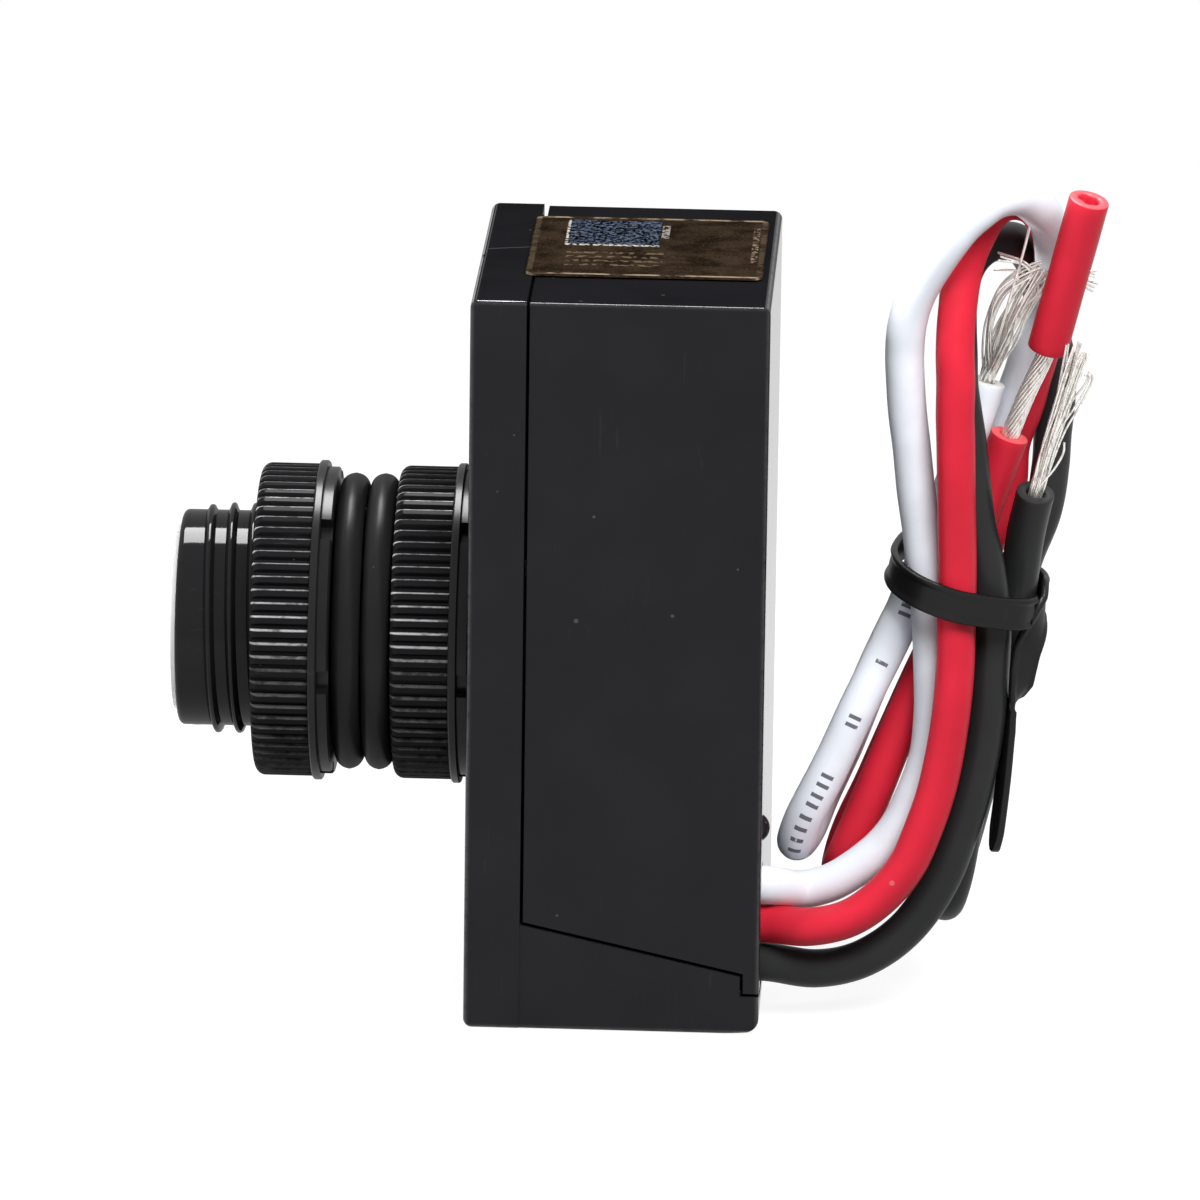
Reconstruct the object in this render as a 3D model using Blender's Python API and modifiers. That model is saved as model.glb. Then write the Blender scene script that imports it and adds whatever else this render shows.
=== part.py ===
"""Button-type photocell switch, wire-in, with threaded snout and three leads.

Frame: the snout points to -X, the leads leave the rear face at +X, the
switch stands on its lower end face, +Z up.  All sizes are in metres.
"""
import math

import bmesh
import bpy
import numpy as np
from mathutils import Matrix, Vector

# ---------------------------------------------------------------- sizes
# housing
BOX_H = 0.0525            # height of the housing
BOX_W = 0.0290            # width across the two side faces
BOX_D = 0.0207            # depth, front face to rear face
FRONT_X = 0.000225        # front face of the housing
WALL = 0.0015             # side and top walls
FRONT_WALL = 0.0020
REAR_WALL = 0.0015
FLOOR = 0.0020            # lower end wall
CAP_DEPTH = 0.0039        # front shell, front face to seam
SEAM = 0.0002             # joint line between shell and cover
COVER_STEP = 0.0001       # the cover lies this much inside the front shell
LIP_H = 0.00275           # shell's lower lip at the rear face
LIP_DEPTH = 0.00135       # how far the cover's rear wall reaches over it
CHEEK_REAR_H = 0.0042     # triangular cheek, height at its rear end
CHEEK_FRONT_H = 0.0076    # triangular cheek, height at the seam
CORNER_R = 0.0006
FOOT_R = 0.0010           # lower rear corner
EDGE_R = 0.0003
PIP_R = 0.0011            # moulded pip on the rear face
PIP_PROUD = 0.0005
PIP_Y = -0.0122
PIP_Z = 0.0145

# snout
SNOUT_L = 0.0209          # front face to snout tip
THREAD_R = 0.00815        # thread crest
PLAIN_R = 0.00762         # plain lead at the tip
PLAIN_L = 0.0016
TIP_ROUND = 0.0006
BORE_R = 0.0056
SEAT_R = 0.0067           # counterbore that holds the lens
SEAT_DEPTH = 0.0024
LENS_GAP = 0.00016
LENS_RIM = 0.00035        # edge above the snout tip
LENS_DOME = 0.00075       # dome's top above the snout tip

# knurled nuts and rings
NUT_L = 0.0055
NUT_R = 0.01105
NUT_BORE_GAP = 0.0003
RIBS = 72
RIB_DEPTH = 0.00036
RIB_GROOVE = 0.48         # share of the pitch taken by a groove's mouth
NUT_CHAMFER = 0.0006
COLLAR_R = 0.0113
COLLAR_L = 0.0006
FOOT_RING_R = 0.01085
FOOT_RING_L = 0.0008
NOTCHES = 6
NOTCH_ANGLE = 9.0
NOTCH_START = -8.5
NOTCH_DEPTH = 0.0008
RING_SECTION_R = 0.0010
SEAT_GAP = 0.0001         # between nuts, rings and the front face

# label
LABEL_X = 0.0034          # from the front face
LABEL_L = 0.0165
LABEL_W = 0.0170
LABEL_Y = 0.0013          # centre, off the middle
LABEL_T = 0.00015
LABEL_R = 0.0008

# inside
FIT = 0.0003              # clearance of the inner pieces
BOARD_X = 0.0046          # from the front face
BOARD_T = 0.0012
CELL_R = 0.0037
CELL_T = 0.0022
CELL_BACK = 0.0062        # cell front face behind the snout tip
HOLDER_R = 0.0046
HOLDER_BORE = 0.0030
# components as shares of the room behind the board: size in depth, width
# and height, then the centre across the room (-1 to 1) and up it (0 to 1)
RELAY_SHARE = (0.935, 0.610, 0.403)
RELAY_AT = (0.275, 0.748)
FILM_CAP_SHARE = (0.820, 0.236, 0.248)
FILM_CAP_AT = (-0.693, 0.655)
ELECTRO_SHARE = (0.900, 0.323, 0.170)
ELECTRO_AT = (0.590, 0.118)
VARISTOR_SHARE = (0.780, 0.142, 0.207)
VARISTOR_AT = (0.670, 0.366)
BRIDGE_SHARE = (0.250, 0.252, 0.171)
BRIDGE_AT = (-0.040, 0.366)
RESISTOR_SHARE = (0.280, 0.142, 0.207)
RESISTOR_AT = (-0.670, 0.366)

# leads
LEAD_R = 0.00135
LEAD_EXIT_Y = -0.0110
LEAD_LOW_Z = 0.0043       # lowest lead in the rear slot
LEAD_PITCH = 0.00282
LEAD_INSIDE = 0.0029      # lead's start, in from the rear face
ROUTE_REAR = 0.020925     # rear face that the leads' routes are drawn from
LEAD_STEP = 0.0022        # spacing of the points along a lead
CORE_R = 0.00065
SLUG_R = 0.00142
SLUG_L = 0.0118
TIE_W = 0.0023
TIE_T = 0.00045
TIE_TILT = 13.0

# ------------------------------------------------------- derived places
AXIS_Z = BOX_H / 2 - 0.0009
REAR_X = FRONT_X + BOX_D
BOARD_BACK = FRONT_X + BOARD_X + BOARD_T
INNER_Y = BOX_W / 2 - WALL
RING_STACK = 4 * RING_SECTION_R + SEAT_GAP
INNER_NUT_Z = SEAT_GAP
RINGS_Z = INNER_NUT_Z + NUT_L + SEAT_GAP
OUTER_NUT_Z = RINGS_Z + RING_STACK + SEAT_GAP
LEAD_TOP_Z = LEAD_LOW_Z + 2 * LEAD_PITCH
# room for components, between the board and the walls
ROOM_X0 = BOARD_BACK + FIT
ROOM_X = REAR_X - REAR_WALL - FIT - ROOM_X0
ROOM_Y = 2 * (INNER_Y - FIT)
ROOM_Z0 = FLOOR + FIT
ROOM_Z = BOX_H - WALL - FIT - ROOM_Z0

for old in list(bpy.data.objects):
    bpy.data.objects.remove(old, do_unlink=True)

scene = bpy.context.scene
parts = bpy.data.collections.new("photocell_switch")
cutters = bpy.data.collections.new("cutters")
scene.collection.children.link(parts)
scene.collection.children.link(cutters)


# ------------------------------------------------------------ materials
def material(name, colour, roughness=0.5, metallic=0.0, alpha=1.0):
    mat = bpy.data.materials.new(name)
    mat.use_nodes = True
    bsdf = mat.node_tree.nodes["Principled BSDF"]
    bsdf.inputs["Base Color"].default_value = (*colour, 1.0)
    bsdf.inputs["Roughness"].default_value = roughness
    bsdf.inputs["Metallic"].default_value = metallic
    bsdf.inputs["Alpha"].default_value = alpha
    return mat


SHELL = material("black_abs", (0.018, 0.018, 0.021), 0.45)
NUT = material("black_nylon", (0.012, 0.012, 0.013), 0.30)
RUBBER = material("black_rubber", (0.010, 0.010, 0.010), 0.75)
CLEAR = material("clear_lens", (0.85, 0.88, 0.88), 0.08, alpha=0.35)
LABEL = material("brown_label", (0.050, 0.025, 0.012), 0.35)
BOARD = material("board", (0.30, 0.18, 0.06), 0.5)
CERAMIC = material("ceramic", (0.75, 0.70, 0.58), 0.4)
RELAY = material("relay_blue", (0.03, 0.10, 0.30), 0.4)
FILM = material("film_yellow", (0.60, 0.40, 0.06), 0.35)
SLEEVE = material("sleeve_black", (0.02, 0.02, 0.025), 0.35)
WHITE_PVC = material("white_pvc", (0.82, 0.83, 0.87), 0.35)
RED_PVC = material("red_pvc", (0.74, 0.02, 0.04), 0.35)
BLACK_PVC = material("black_pvc", (0.022, 0.023, 0.024), 0.40)
TINNED = material("tinned_copper", (0.62, 0.60, 0.55), 0.30, 1.0)
TIE = material("tie_black", (0.012, 0.012, 0.012), 0.55)


# -------------------------------------------------------------- helpers
def put(obj, name, mat=None, cutter=False):
    """Name an object and file it with the parts or with the cutters."""
    obj.name = name
    for col in list(obj.users_collection):
        col.objects.unlink(obj)
    (cutters if cutter else parts).objects.link(obj)
    if cutter:
        obj.hide_render = True
        obj.display_type = "WIRE"
    elif mat is not None:
        obj.data.materials.clear()
        obj.data.materials.append(mat)
    return obj


def smooth_shade(obj, angle=35.0):
    obj.data.shade_smooth()
    obj.data.set_sharp_from_angle(angle=math.radians(angle))


def box(name, low, high, mat=None, cutter=False):
    """A block between two corners."""
    low, high = Vector(low), Vector(high)
    bm = bmesh.new()
    bmesh.ops.create_cube(bm, size=1.0)
    bmesh.ops.scale(bm, vec=high - low, verts=bm.verts)
    bmesh.ops.translate(bm, vec=(low + high) / 2, verts=bm.verts)
    mesh = bpy.data.meshes.new(name)
    bm.to_mesh(mesh)
    bm.free()
    return put(bpy.data.objects.new(name, mesh), name, mat, cutter)


def rod(name, radius, length, centre, axis, mat=None, sides=24, cutter=False):
    """A round bar of the given length, centred on a point."""
    bm = bmesh.new()
    bmesh.ops.create_cone(bm, cap_ends=True, segments=sides, radius1=radius,
                          radius2=radius, depth=length)
    turn = Vector((0, 0, 1)).rotation_difference(Vector(axis)).to_matrix()
    bmesh.ops.rotate(bm, cent=(0, 0, 0), matrix=turn, verts=bm.verts)
    bmesh.ops.translate(bm, vec=centre, verts=bm.verts)
    mesh = bpy.data.meshes.new(name)
    bm.to_mesh(mesh)
    bm.free()
    obj = put(bpy.data.objects.new(name, mesh), name, mat, cutter)
    smooth_shade(obj)
    return obj


def fillet(corners, steps=4):
    """Round a polygon's corners: corners are (x, y, radius)."""
    out = []
    count = len(corners)
    for i, (x, y, radius) in enumerate(corners):
        here = Vector((x, y))
        if radius <= 0:
            out.append(here)
            continue
        before = (Vector(corners[i - 1][:2]) - here).normalized()
        after = (Vector(corners[(i + 1) % count][:2]) - here).normalized()
        half = before.angle(after) / 2
        cut = radius / math.tan(half)
        centre = here + (before + after).normalized() * radius / math.sin(half)
        a = here + before * cut - centre
        b = here + after * cut - centre
        sweep = a.angle_signed(b)
        for k in range(steps + 1):
            turn = Matrix.Rotation(-sweep * k / steps, 2)
            out.append(centre + turn @ a)
    return out


def mesh_of(obj):
    """Replace a curve object by its mesh, with the caps welded."""
    deps = bpy.context.evaluated_depsgraph_get()
    mesh = bpy.data.meshes.new_from_object(obj.evaluated_get(deps))
    bm = bmesh.new()
    bm.from_mesh(mesh)
    bmesh.ops.remove_doubles(bm, verts=bm.verts, dist=1e-6)
    bmesh.ops.recalc_face_normals(bm, faces=bm.faces)
    bm.to_mesh(mesh)
    bm.free()
    new = bpy.data.objects.new(obj.name + "_mesh", mesh)
    new.matrix_world = obj.matrix_world
    parts.objects.link(new)
    bpy.data.objects.remove(obj, do_unlink=True)
    return new


def plate(name, outline, thickness, matrix, mat=None, cutter=False):
    """A flat outline with a thickness, set in place by a matrix."""
    curve = bpy.data.curves.new(name, "CURVE")
    curve.dimensions = "2D"
    curve.fill_mode = "BOTH"
    curve.extrude = thickness / 2
    spline = curve.splines.new("POLY")
    spline.points.add(len(outline) - 1)
    for point, (x, y) in zip(spline.points, outline):
        point.co = (x, y, 0, 1)
    spline.use_cyclic_u = True
    obj = bpy.data.objects.new(name + "_outline", curve)
    parts.objects.link(obj)
    obj.matrix_world = matrix
    bpy.context.view_layer.update()
    return put(mesh_of(obj), name, mat, cutter)


# an outline drawn in (depth from the front face, height) stands upright
SIDE_VIEW = Matrix.Translation((FRONT_X, 0, 0)) @ Matrix.Rotation(
    math.radians(90), 4, "X")


def cut(obj, tool, operation="DIFFERENCE"):
    mod = obj.modifiers.new(operation.lower(), "BOOLEAN")
    mod.operation = operation
    mod.solver = "EXACT"
    mod.object = tool
    return mod


def round_edges(obj, width, segments=2):
    mod = obj.modifiers.new("edges", "BEVEL")
    mod.width = width
    mod.segments = segments
    mod.limit_method = "ANGLE"
    mod.angle_limit = math.radians(40)
    return mod


snout_axis = bpy.data.objects.new("snout_axis", None)
snout_axis.matrix_world = Matrix.Translation((FRONT_X, 0, AXIS_Z)) @ \
    Matrix.Rotation(math.radians(-90), 4, "Y")
parts.objects.link(snout_axis)
bpy.context.view_layer.update()


def turned(name, profile, steps=48, mat=None, closed=False, cutter=False,
           forward=0.0):
    """Turn a profile of (radius, distance forward) about the snout's axis.

    The profile runs down its outer side, from the tip towards the box."""
    bm = bmesh.new()
    verts = [bm.verts.new((r, 0, z)) for r, z in profile]
    for a, b in zip(verts, verts[1:]):
        bm.edges.new((a, b))
    if closed:
        bm.edges.new((verts[-1], verts[0]))
    mesh = bpy.data.meshes.new(name)
    bm.to_mesh(mesh)
    bm.free()
    obj = put(bpy.data.objects.new(name, mesh), name, mat, cutter)
    mod = obj.modifiers.new("turn", "SCREW")
    mod.axis = "Z"
    mod.angle = math.radians(360)
    mod.steps = mod.render_steps = steps
    mod.use_merge_vertices = True
    mod.merge_threshold = 0.000001
    obj.parent = snout_axis
    obj.location = (0, 0, forward)
    return obj


# -------------------------------------------------------------- housing
def shell_outline():
    return fillet([
        (0, 0, CORNER_R),
        (BOX_D, 0, FOOT_R),
        (BOX_D, LIP_H, 0),
        (BOX_D - LIP_DEPTH, LIP_H, 0),
        (BOX_D - LIP_DEPTH, CHEEK_REAR_H, 0),
        (CAP_DEPTH, CHEEK_FRONT_H, 0),
        (CAP_DEPTH, BOX_H, 0),
        (0, BOX_H, CORNER_R),
    ])


def cover_outline():
    rear = BOX_D - LIP_DEPTH + SEAM
    return fillet([
        (CAP_DEPTH + SEAM, CHEEK_FRONT_H + SEAM, 0),
        (rear, CHEEK_REAR_H + SEAM, 0),
        (rear, LIP_H + SEAM, 0),
        (BOX_D, LIP_H + SEAM, 0),
        (BOX_D, BOX_H - COVER_STEP, CORNER_R),
        (CAP_DEPTH + SEAM, BOX_H - COVER_STEP, 0),
    ])


def front_shell():
    """Front wall, rim, snout and lower wall in one moulding."""
    shell = plate("front_shell", shell_outline(), BOX_W, SIDE_VIEW, SHELL)
    round_edges(shell, EDGE_R)
    hollow = box("shell_hollow", (FRONT_X + FRONT_WALL, -INNER_Y, FLOOR),
                 (REAR_X + 0.002, INNER_Y, BOX_H - WALL), cutter=True)
    cut(shell, hollow)
    tip = SNOUT_L
    snout = turned("snout_body", [
        (0, tip), (PLAIN_R - TIP_ROUND, tip),
        (PLAIN_R - TIP_ROUND * 0.3, tip - TIP_ROUND * 0.3),
        (PLAIN_R, tip - TIP_ROUND), (PLAIN_R, tip - PLAIN_L),
        (THREAD_R, tip - PLAIN_L - 0.0005),
        (THREAD_R, -FRONT_WALL / 2), (0, -FRONT_WALL / 2)],
        steps=56, cutter=True)
    cut(shell, snout, "UNION")
    bore = turned("snout_bore", [
        (0, tip + 0.002), (SEAT_R, tip + 0.002), (SEAT_R, tip - SEAT_DEPTH),
        (BORE_R, tip - SEAT_DEPTH), (BORE_R, -FRONT_WALL - 0.001),
        (0, -FRONT_WALL - 0.001)], steps=40, cutter=True)
    cut(shell, bore)
    smooth_shade(shell)
    return shell


def rear_cover():
    """Rear wall with the side and top walls up to the seam."""
    cover = plate("rear_cover", cover_outline(), BOX_W - 2 * COVER_STEP,
                  SIDE_VIEW, SHELL)
    round_edges(cover, EDGE_R)
    hollow = box("cover_hollow", (FRONT_X, -INNER_Y, -0.002),
                 (REAR_X - REAR_WALL, INNER_Y, BOX_H - WALL), cutter=True)
    cut(cover, hollow)
    # slot that the three leads leave by, open at its lower end
    half = LEAD_R + FIT
    top = LEAD_TOP_Z + half
    slot = plate("lead_slot", fillet([
        (LEAD_EXIT_Y - half, -0.001, 0), (LEAD_EXIT_Y + half, -0.001, 0),
        (LEAD_EXIT_Y + half, top, half * 0.98),
        (LEAD_EXIT_Y - half, top, half * 0.98)]), 0.006,
        Matrix.Translation((REAR_X, 0, 0))
        @ Matrix.Rotation(math.radians(90), 4, "Z")
        @ Matrix.Rotation(math.radians(90), 4, "X"), cutter=True)
    cut(cover, slot)
    # small moulded pip
    bm = bmesh.new()
    bmesh.ops.create_uvsphere(bm, u_segments=16, v_segments=8, radius=PIP_R)
    mesh = bpy.data.meshes.new("pip")
    bm.to_mesh(mesh)
    bm.free()
    pip = put(bpy.data.objects.new("pip", mesh), "pip", cutter=True)
    pip.location = (REAR_X + PIP_PROUD - PIP_R, PIP_Y, PIP_Z)
    cut(cover, pip, "UNION")
    smooth_shade(cover)
    return cover


def lens():
    """Clear plug with a shallow dome, pressed into the snout's tip."""
    tip, radius = SNOUT_L, SEAT_R - LENS_GAP
    edge = tip + LENS_RIM
    rise = tip + LENS_DOME - edge
    ball = (radius ** 2 + rise ** 2) / (2 * rise)
    dome = []
    for k in range(6):
        r = radius * k / 5
        dome.append((r, edge + math.sqrt(ball ** 2 - r ** 2) - (ball - rise)))
    bottom = tip - SEAT_DEPTH + LENS_GAP
    obj = turned("lens", dome + [(radius, bottom), (0, bottom)], steps=40,
                 mat=CLEAR)
    smooth_shade(obj)
    return obj


# -------------------------------------------------------- nuts and rings
def groove_cutter():
    """One V-shaped bar for each groove between two ribs."""
    bm = bmesh.new()
    pitch = 2 * math.pi / RIBS
    low = FOOT_RING_L + COLLAR_L + 0.00008
    high = NUT_L + 0.001
    mouth = pitch * RIB_GROOVE / 2
    out = 0.00025
    for k in range(RIBS):
        made = bmesh.ops.create_cone(bm, cap_ends=True, segments=3,
                                     radius1=1, radius2=1, depth=1)["verts"]
        # wedge: its edge lies at the groove's root, its back outside
        spread = math.tan(mouth) * NUT_R * (RIB_DEPTH + out) / RIB_DEPTH
        places = [(NUT_R - RIB_DEPTH, 0), (NUT_R + out, spread),
                  (NUT_R + out, -spread)]
        lows = sorted((v for v in made if v.co.z < 0),
                      key=lambda v: math.atan2(v.co.y, v.co.x) % math.tau)
        highs = sorted((v for v in made if v.co.z > 0),
                       key=lambda v: math.atan2(v.co.y, v.co.x) % math.tau)
        turn = Matrix.Rotation(k * pitch, 3, "Z")
        for row, z in ((lows, low), (highs, high)):
            for v, (x, y) in zip(row, places):
                v.co = turn @ Vector((x, y, z))
    bmesh.ops.recalc_face_normals(bm, faces=bm.faces)
    mesh = bpy.data.meshes.new("rib_grooves")
    bm.to_mesh(mesh)
    bm.free()
    return put(bpy.data.objects.new("rib_grooves", mesh), "rib_grooves",
               cutter=True)


def notch_cutter():
    """Blocks that split the nut's foot ring into segments."""
    bm = bmesh.new()
    width = 2 * FOOT_RING_R * math.tan(math.radians(NOTCH_ANGLE / 2))
    for k in range(NOTCHES):
        made = bmesh.ops.create_cube(bm, size=1.0)["verts"]
        bmesh.ops.scale(bm, vec=(NOTCH_DEPTH * 2, width,
                                 FOOT_RING_L * 1.9), verts=made)
        bmesh.ops.translate(bm, vec=(FOOT_RING_R, 0, 0), verts=made)
        angle = math.radians(NOTCH_START - 90 + k * 360 / NOTCHES)
        bmesh.ops.rotate(bm, cent=(0, 0, 0), verts=made,
                         matrix=Matrix.Rotation(angle, 3, "Z"))
    mesh = bpy.data.meshes.new("foot_notches")
    bm.to_mesh(mesh)
    bm.free()
    return put(bpy.data.objects.new("foot_notches", mesh), "foot_notches",
               cutter=True)


def nut(name, forward):
    """Knurled nut: ribbed body, thin collar, segmented foot ring."""
    bore = THREAD_R + NUT_BORE_GAP
    collar = FOOT_RING_L + COLLAR_L
    blank = turned(name, [
        (bore, NUT_L), (NUT_R - NUT_CHAMFER, NUT_L),
        (NUT_R, NUT_L - NUT_CHAMFER), (NUT_R, collar), (COLLAR_R, collar),
        (COLLAR_R, FOOT_RING_L), (FOOT_RING_R, FOOT_RING_L),
        (FOOT_RING_R, 0), (bore, 0)], steps=RIBS, mat=NUT, closed=True,
        forward=forward)
    for tool in (groove_cutter(), notch_cutter()):
        tool.parent = snout_axis
        tool.location = (0, 0, forward)
        cut(blank, tool)
    smooth_shade(blank)
    return blank


def o_ring(name, forward):
    radius = THREAD_R + NUT_BORE_GAP + RING_SECTION_R
    bpy.ops.mesh.primitive_torus_add(
        major_radius=radius, minor_radius=RING_SECTION_R,
        major_segments=40, minor_segments=10)
    obj = put(bpy.context.object, name, RUBBER)
    obj.parent = snout_axis
    obj.location = (0, 0, forward)
    smooth_shade(obj, 60)
    return obj


# --------------------------------------------------------------- inside
def board():
    return box("circuit_board",
               (FRONT_X + BOARD_X, -INNER_Y + FIT, FLOOR + FIT),
               (BOARD_BACK, INNER_Y - FIT, BOX_H - WALL - FIT), BOARD)


def in_room(share, at):
    """A component's size and its centre across and up, from its shares."""
    size = (share[0] * ROOM_X, share[1] * ROOM_Y, share[2] * ROOM_Z)
    return size, at[0] * ROOM_Y / 2, ROOM_Z0 + at[1] * ROOM_Z


def on_board(name, share, at, mat):
    """A block-shaped component standing on the board's rear side."""
    size, y, z = in_room(share, at)
    obj = box(name, (ROOM_X0, y - size[1] / 2, z - size[2] / 2),
              (ROOM_X0 + size[0], y + size[1] / 2, z + size[2] / 2), mat)
    round_edges(obj, FIT, 1)
    return obj


def sensor():
    """Light cell in the snout, carried by a holder that stands on the board."""
    cell_front = SNOUT_L - CELL_BACK
    cell_back = cell_front - CELL_T
    holder_back = -BOARD_X + FIT
    cell = turned("sensor_cell", [
        (0, cell_front), (CELL_R, cell_front), (CELL_R, cell_back),
        (0, cell_back)], steps=28, mat=CERAMIC)
    holder = turned("sensor_holder", [
        (HOLDER_BORE, cell_back - FIT), (HOLDER_R, cell_back - FIT),
        (HOLDER_R, holder_back), (HOLDER_BORE, holder_back)], steps=28,
        mat=SLEEVE, closed=True)
    smooth_shade(cell)
    smooth_shade(holder)


def components():
    on_board("relay", RELAY_SHARE, RELAY_AT, RELAY)
    on_board("film_capacitor", FILM_CAP_SHARE, FILM_CAP_AT, FILM)
    on_board("bridge_rectifier", BRIDGE_SHARE, BRIDGE_AT, SLEEVE)
    # round bodies: along the depth, on edge, and upright
    size, y, z = in_room(ELECTRO_SHARE, ELECTRO_AT)
    rod("electrolytic_capacitor", min(size[1], size[2]) / 2, size[0],
        (ROOM_X0 + size[0] / 2, y, z), (1, 0, 0), SLEEVE)
    size, y, z = in_room(VARISTOR_SHARE, VARISTOR_AT)
    radius = min(size[0], size[2]) / 2
    rod("varistor", radius, size[1], (ROOM_X0 + radius, y, z), (0, 1, 0),
        RELAY)
    size, y, z = in_room(RESISTOR_SHARE, RESISTOR_AT)
    radius = min(size[0], size[1]) / 2
    rod("power_resistor", radius, size[2], (ROOM_X0 + radius, y, z),
        (0, 0, 1), CERAMIC, 16)
    # block on the board that the three leads end in
    half = LEAD_R + FIT
    block = box("lead_block", (ROOM_X0, -INNER_Y + FIT, ROOM_Z0),
                (REAR_X - LEAD_INSIDE - FIT, LEAD_EXIT_Y + half,
                 LEAD_TOP_Z + half), SLEEVE)
    round_edges(block, FIT, 1)


def label():
    x0 = FRONT_X + LABEL_X
    y0, y1 = LABEL_Y - LABEL_W / 2, LABEL_Y + LABEL_W / 2
    obj = plate("rating_label", fillet([
        (x0, y0, LABEL_R), (x0 + LABEL_L, y0, LABEL_R),
        (x0 + LABEL_L, y1, LABEL_R), (x0, y1, LABEL_R)]), LABEL_T,
        Matrix.Translation((0, 0, BOX_H + 0.00005 + LABEL_T / 2)), LABEL)
    return obj


# ---------------------------------------------------------------- leads
# route points in millimetres, from the exit slot to the insulation's end
WHITE_ROUTE = [
    (23.6, -9.4, 9.2), (25.7, -9.2, 9.7), (27.6, -9.1, 10.9),
    (29.2, -9.0, 12.3), (30.4, -8.9, 13.9), (31.3, -8.8, 15.8),
    (32.3, -8.6, 18.8), (32.6, -8.5, 22.2), (32.5, -8.4, 25.0),
    (32.4, -8.3, 27.4), (32.2, -8.2, 30.1), (31.8, -8.1, 33.0),
    (31.5, -8.0, 35.3), (31.1, -8.1, 37.9), (30.7, -8.2, 41.3),
    (30.4, -8.3, 43.5), (30.2, -8.4, 45.8), (30.1, -8.5, 47.8),
    (30.2, -8.7, 49.8), (30.6, -8.9, 51.6), (31.3, -9.2, 53.3),
    (32.2, -9.5, 54.9), (33.1, -9.7, 56.3), (34.0, -9.7, 57.5),
    (35.0, -9.5, 58.4), (36.1, -8.9, 59.1), (37.7, -7.6, 59.1),
    (39.0, -6.0, 58.0), (39.8, -4.5, 56.5), (40.2, -3.2, 54.7),
    (40.3, -2.4, 52.9), (40.1, -1.6, 50.8), (39.6, -1.0, 48.3),
    (38.8, -0.5, 46.3), (38.2, -0.4, 44.3), (37.5, -0.4, 42.3),
    (36.6, -0.5, 39.8), (33.7, 0.3, 34.2), (31.5, 0.4, 29.3),
    (29.7, 0.2, 25.7), (27.9, 0.0, 21.4), (26.2, -0.6, 17.0),
    (24.7, -1.9, 13.8), (23.9, -3.8, 12.1), (23.3, -5.9, 11.7),
    (23.2, -7.6, 12.4), (23.7, -8.6, 14.2), (25.4, -8.7, 17.8),
    (27.6, -7.7, 22.7), (28.8, -7.0, 25.2), (29.9, -6.3, 27.5),
    (31.1, -5.3, 30.4), (32.1, -4.5, 32.9), (33.3, -3.8, 36.2),
    (34.5, -3.6, 40.4), (35.2, -3.5, 42.6), (35.8, -3.4, 44.8)]
RED_ROUTE = [
    (24.4, -12.4, 7.4), (27.0, -12.2, 8.0), (29.2, -11.9, 9.5),
    (31.0, -11.8, 11.8), (32.1, -11.6, 14.4), (33.0, -11.4, 17.3),
    (33.7, -11.2, 21.2), (34.1, -11.0, 25.8), (34.1, -10.6, 29.6),
    (34.1, -10.4, 33.0), (34.0, -10.5, 36.0), (33.9, -10.7, 38.8),
    (33.8, -10.6, 42.0), (33.7, -10.4, 44.1), (33.7, -10.0, 46.2),
    (33.6, -9.4, 48.1), (33.6, -8.6, 49.7), (33.7, -7.7, 51.1),
    (33.9, -6.7, 52.7), (34.3, -6.1, 54.4), (34.9, -5.6, 55.8),
    (35.5, -5.0, 56.9), (36.4, -4.0, 57.6), (37.6, -2.7, 57.6),
    (38.9, -1.3, 56.8), (39.7, -0.4, 55.4), (40.1, 0.4, 53.9),
    (40.2, 1.1, 52.0), (40.1, 1.7, 50.0), (39.9, 2.2, 47.5),
    (39.4, 2.5, 45.2), (38.9, 2.5, 43.3), (38.5, 2.5, 41.6),
    (37.6, 2.1, 38.8), (37.4, 1.4, 35.8), (35.9, -0.9, 32.2),
    (34.5, -2.0, 28.9), (32.5, -2.1, 24.9), (30.3, -1.9, 19.6),
    (28.5, -1.8, 15.1), (27.2, -1.9, 12.2), (26.6, -2.3, 10.6),
    (26.3, -3.4, 9.6), (26.3, -4.8, 9.6), (26.6, -5.9, 10.6),
    (27.2, -6.3, 12.2), (28.6, -6.3, 15.8), (30.4, -6.0, 20.6),
    (32.4, -5.5, 25.3), (33.9, -5.3, 29.7), (34.9, -5.4, 33.2),
    (35.9, -5.1, 36.5), (37.5, -5.5, 41.5)]
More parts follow.
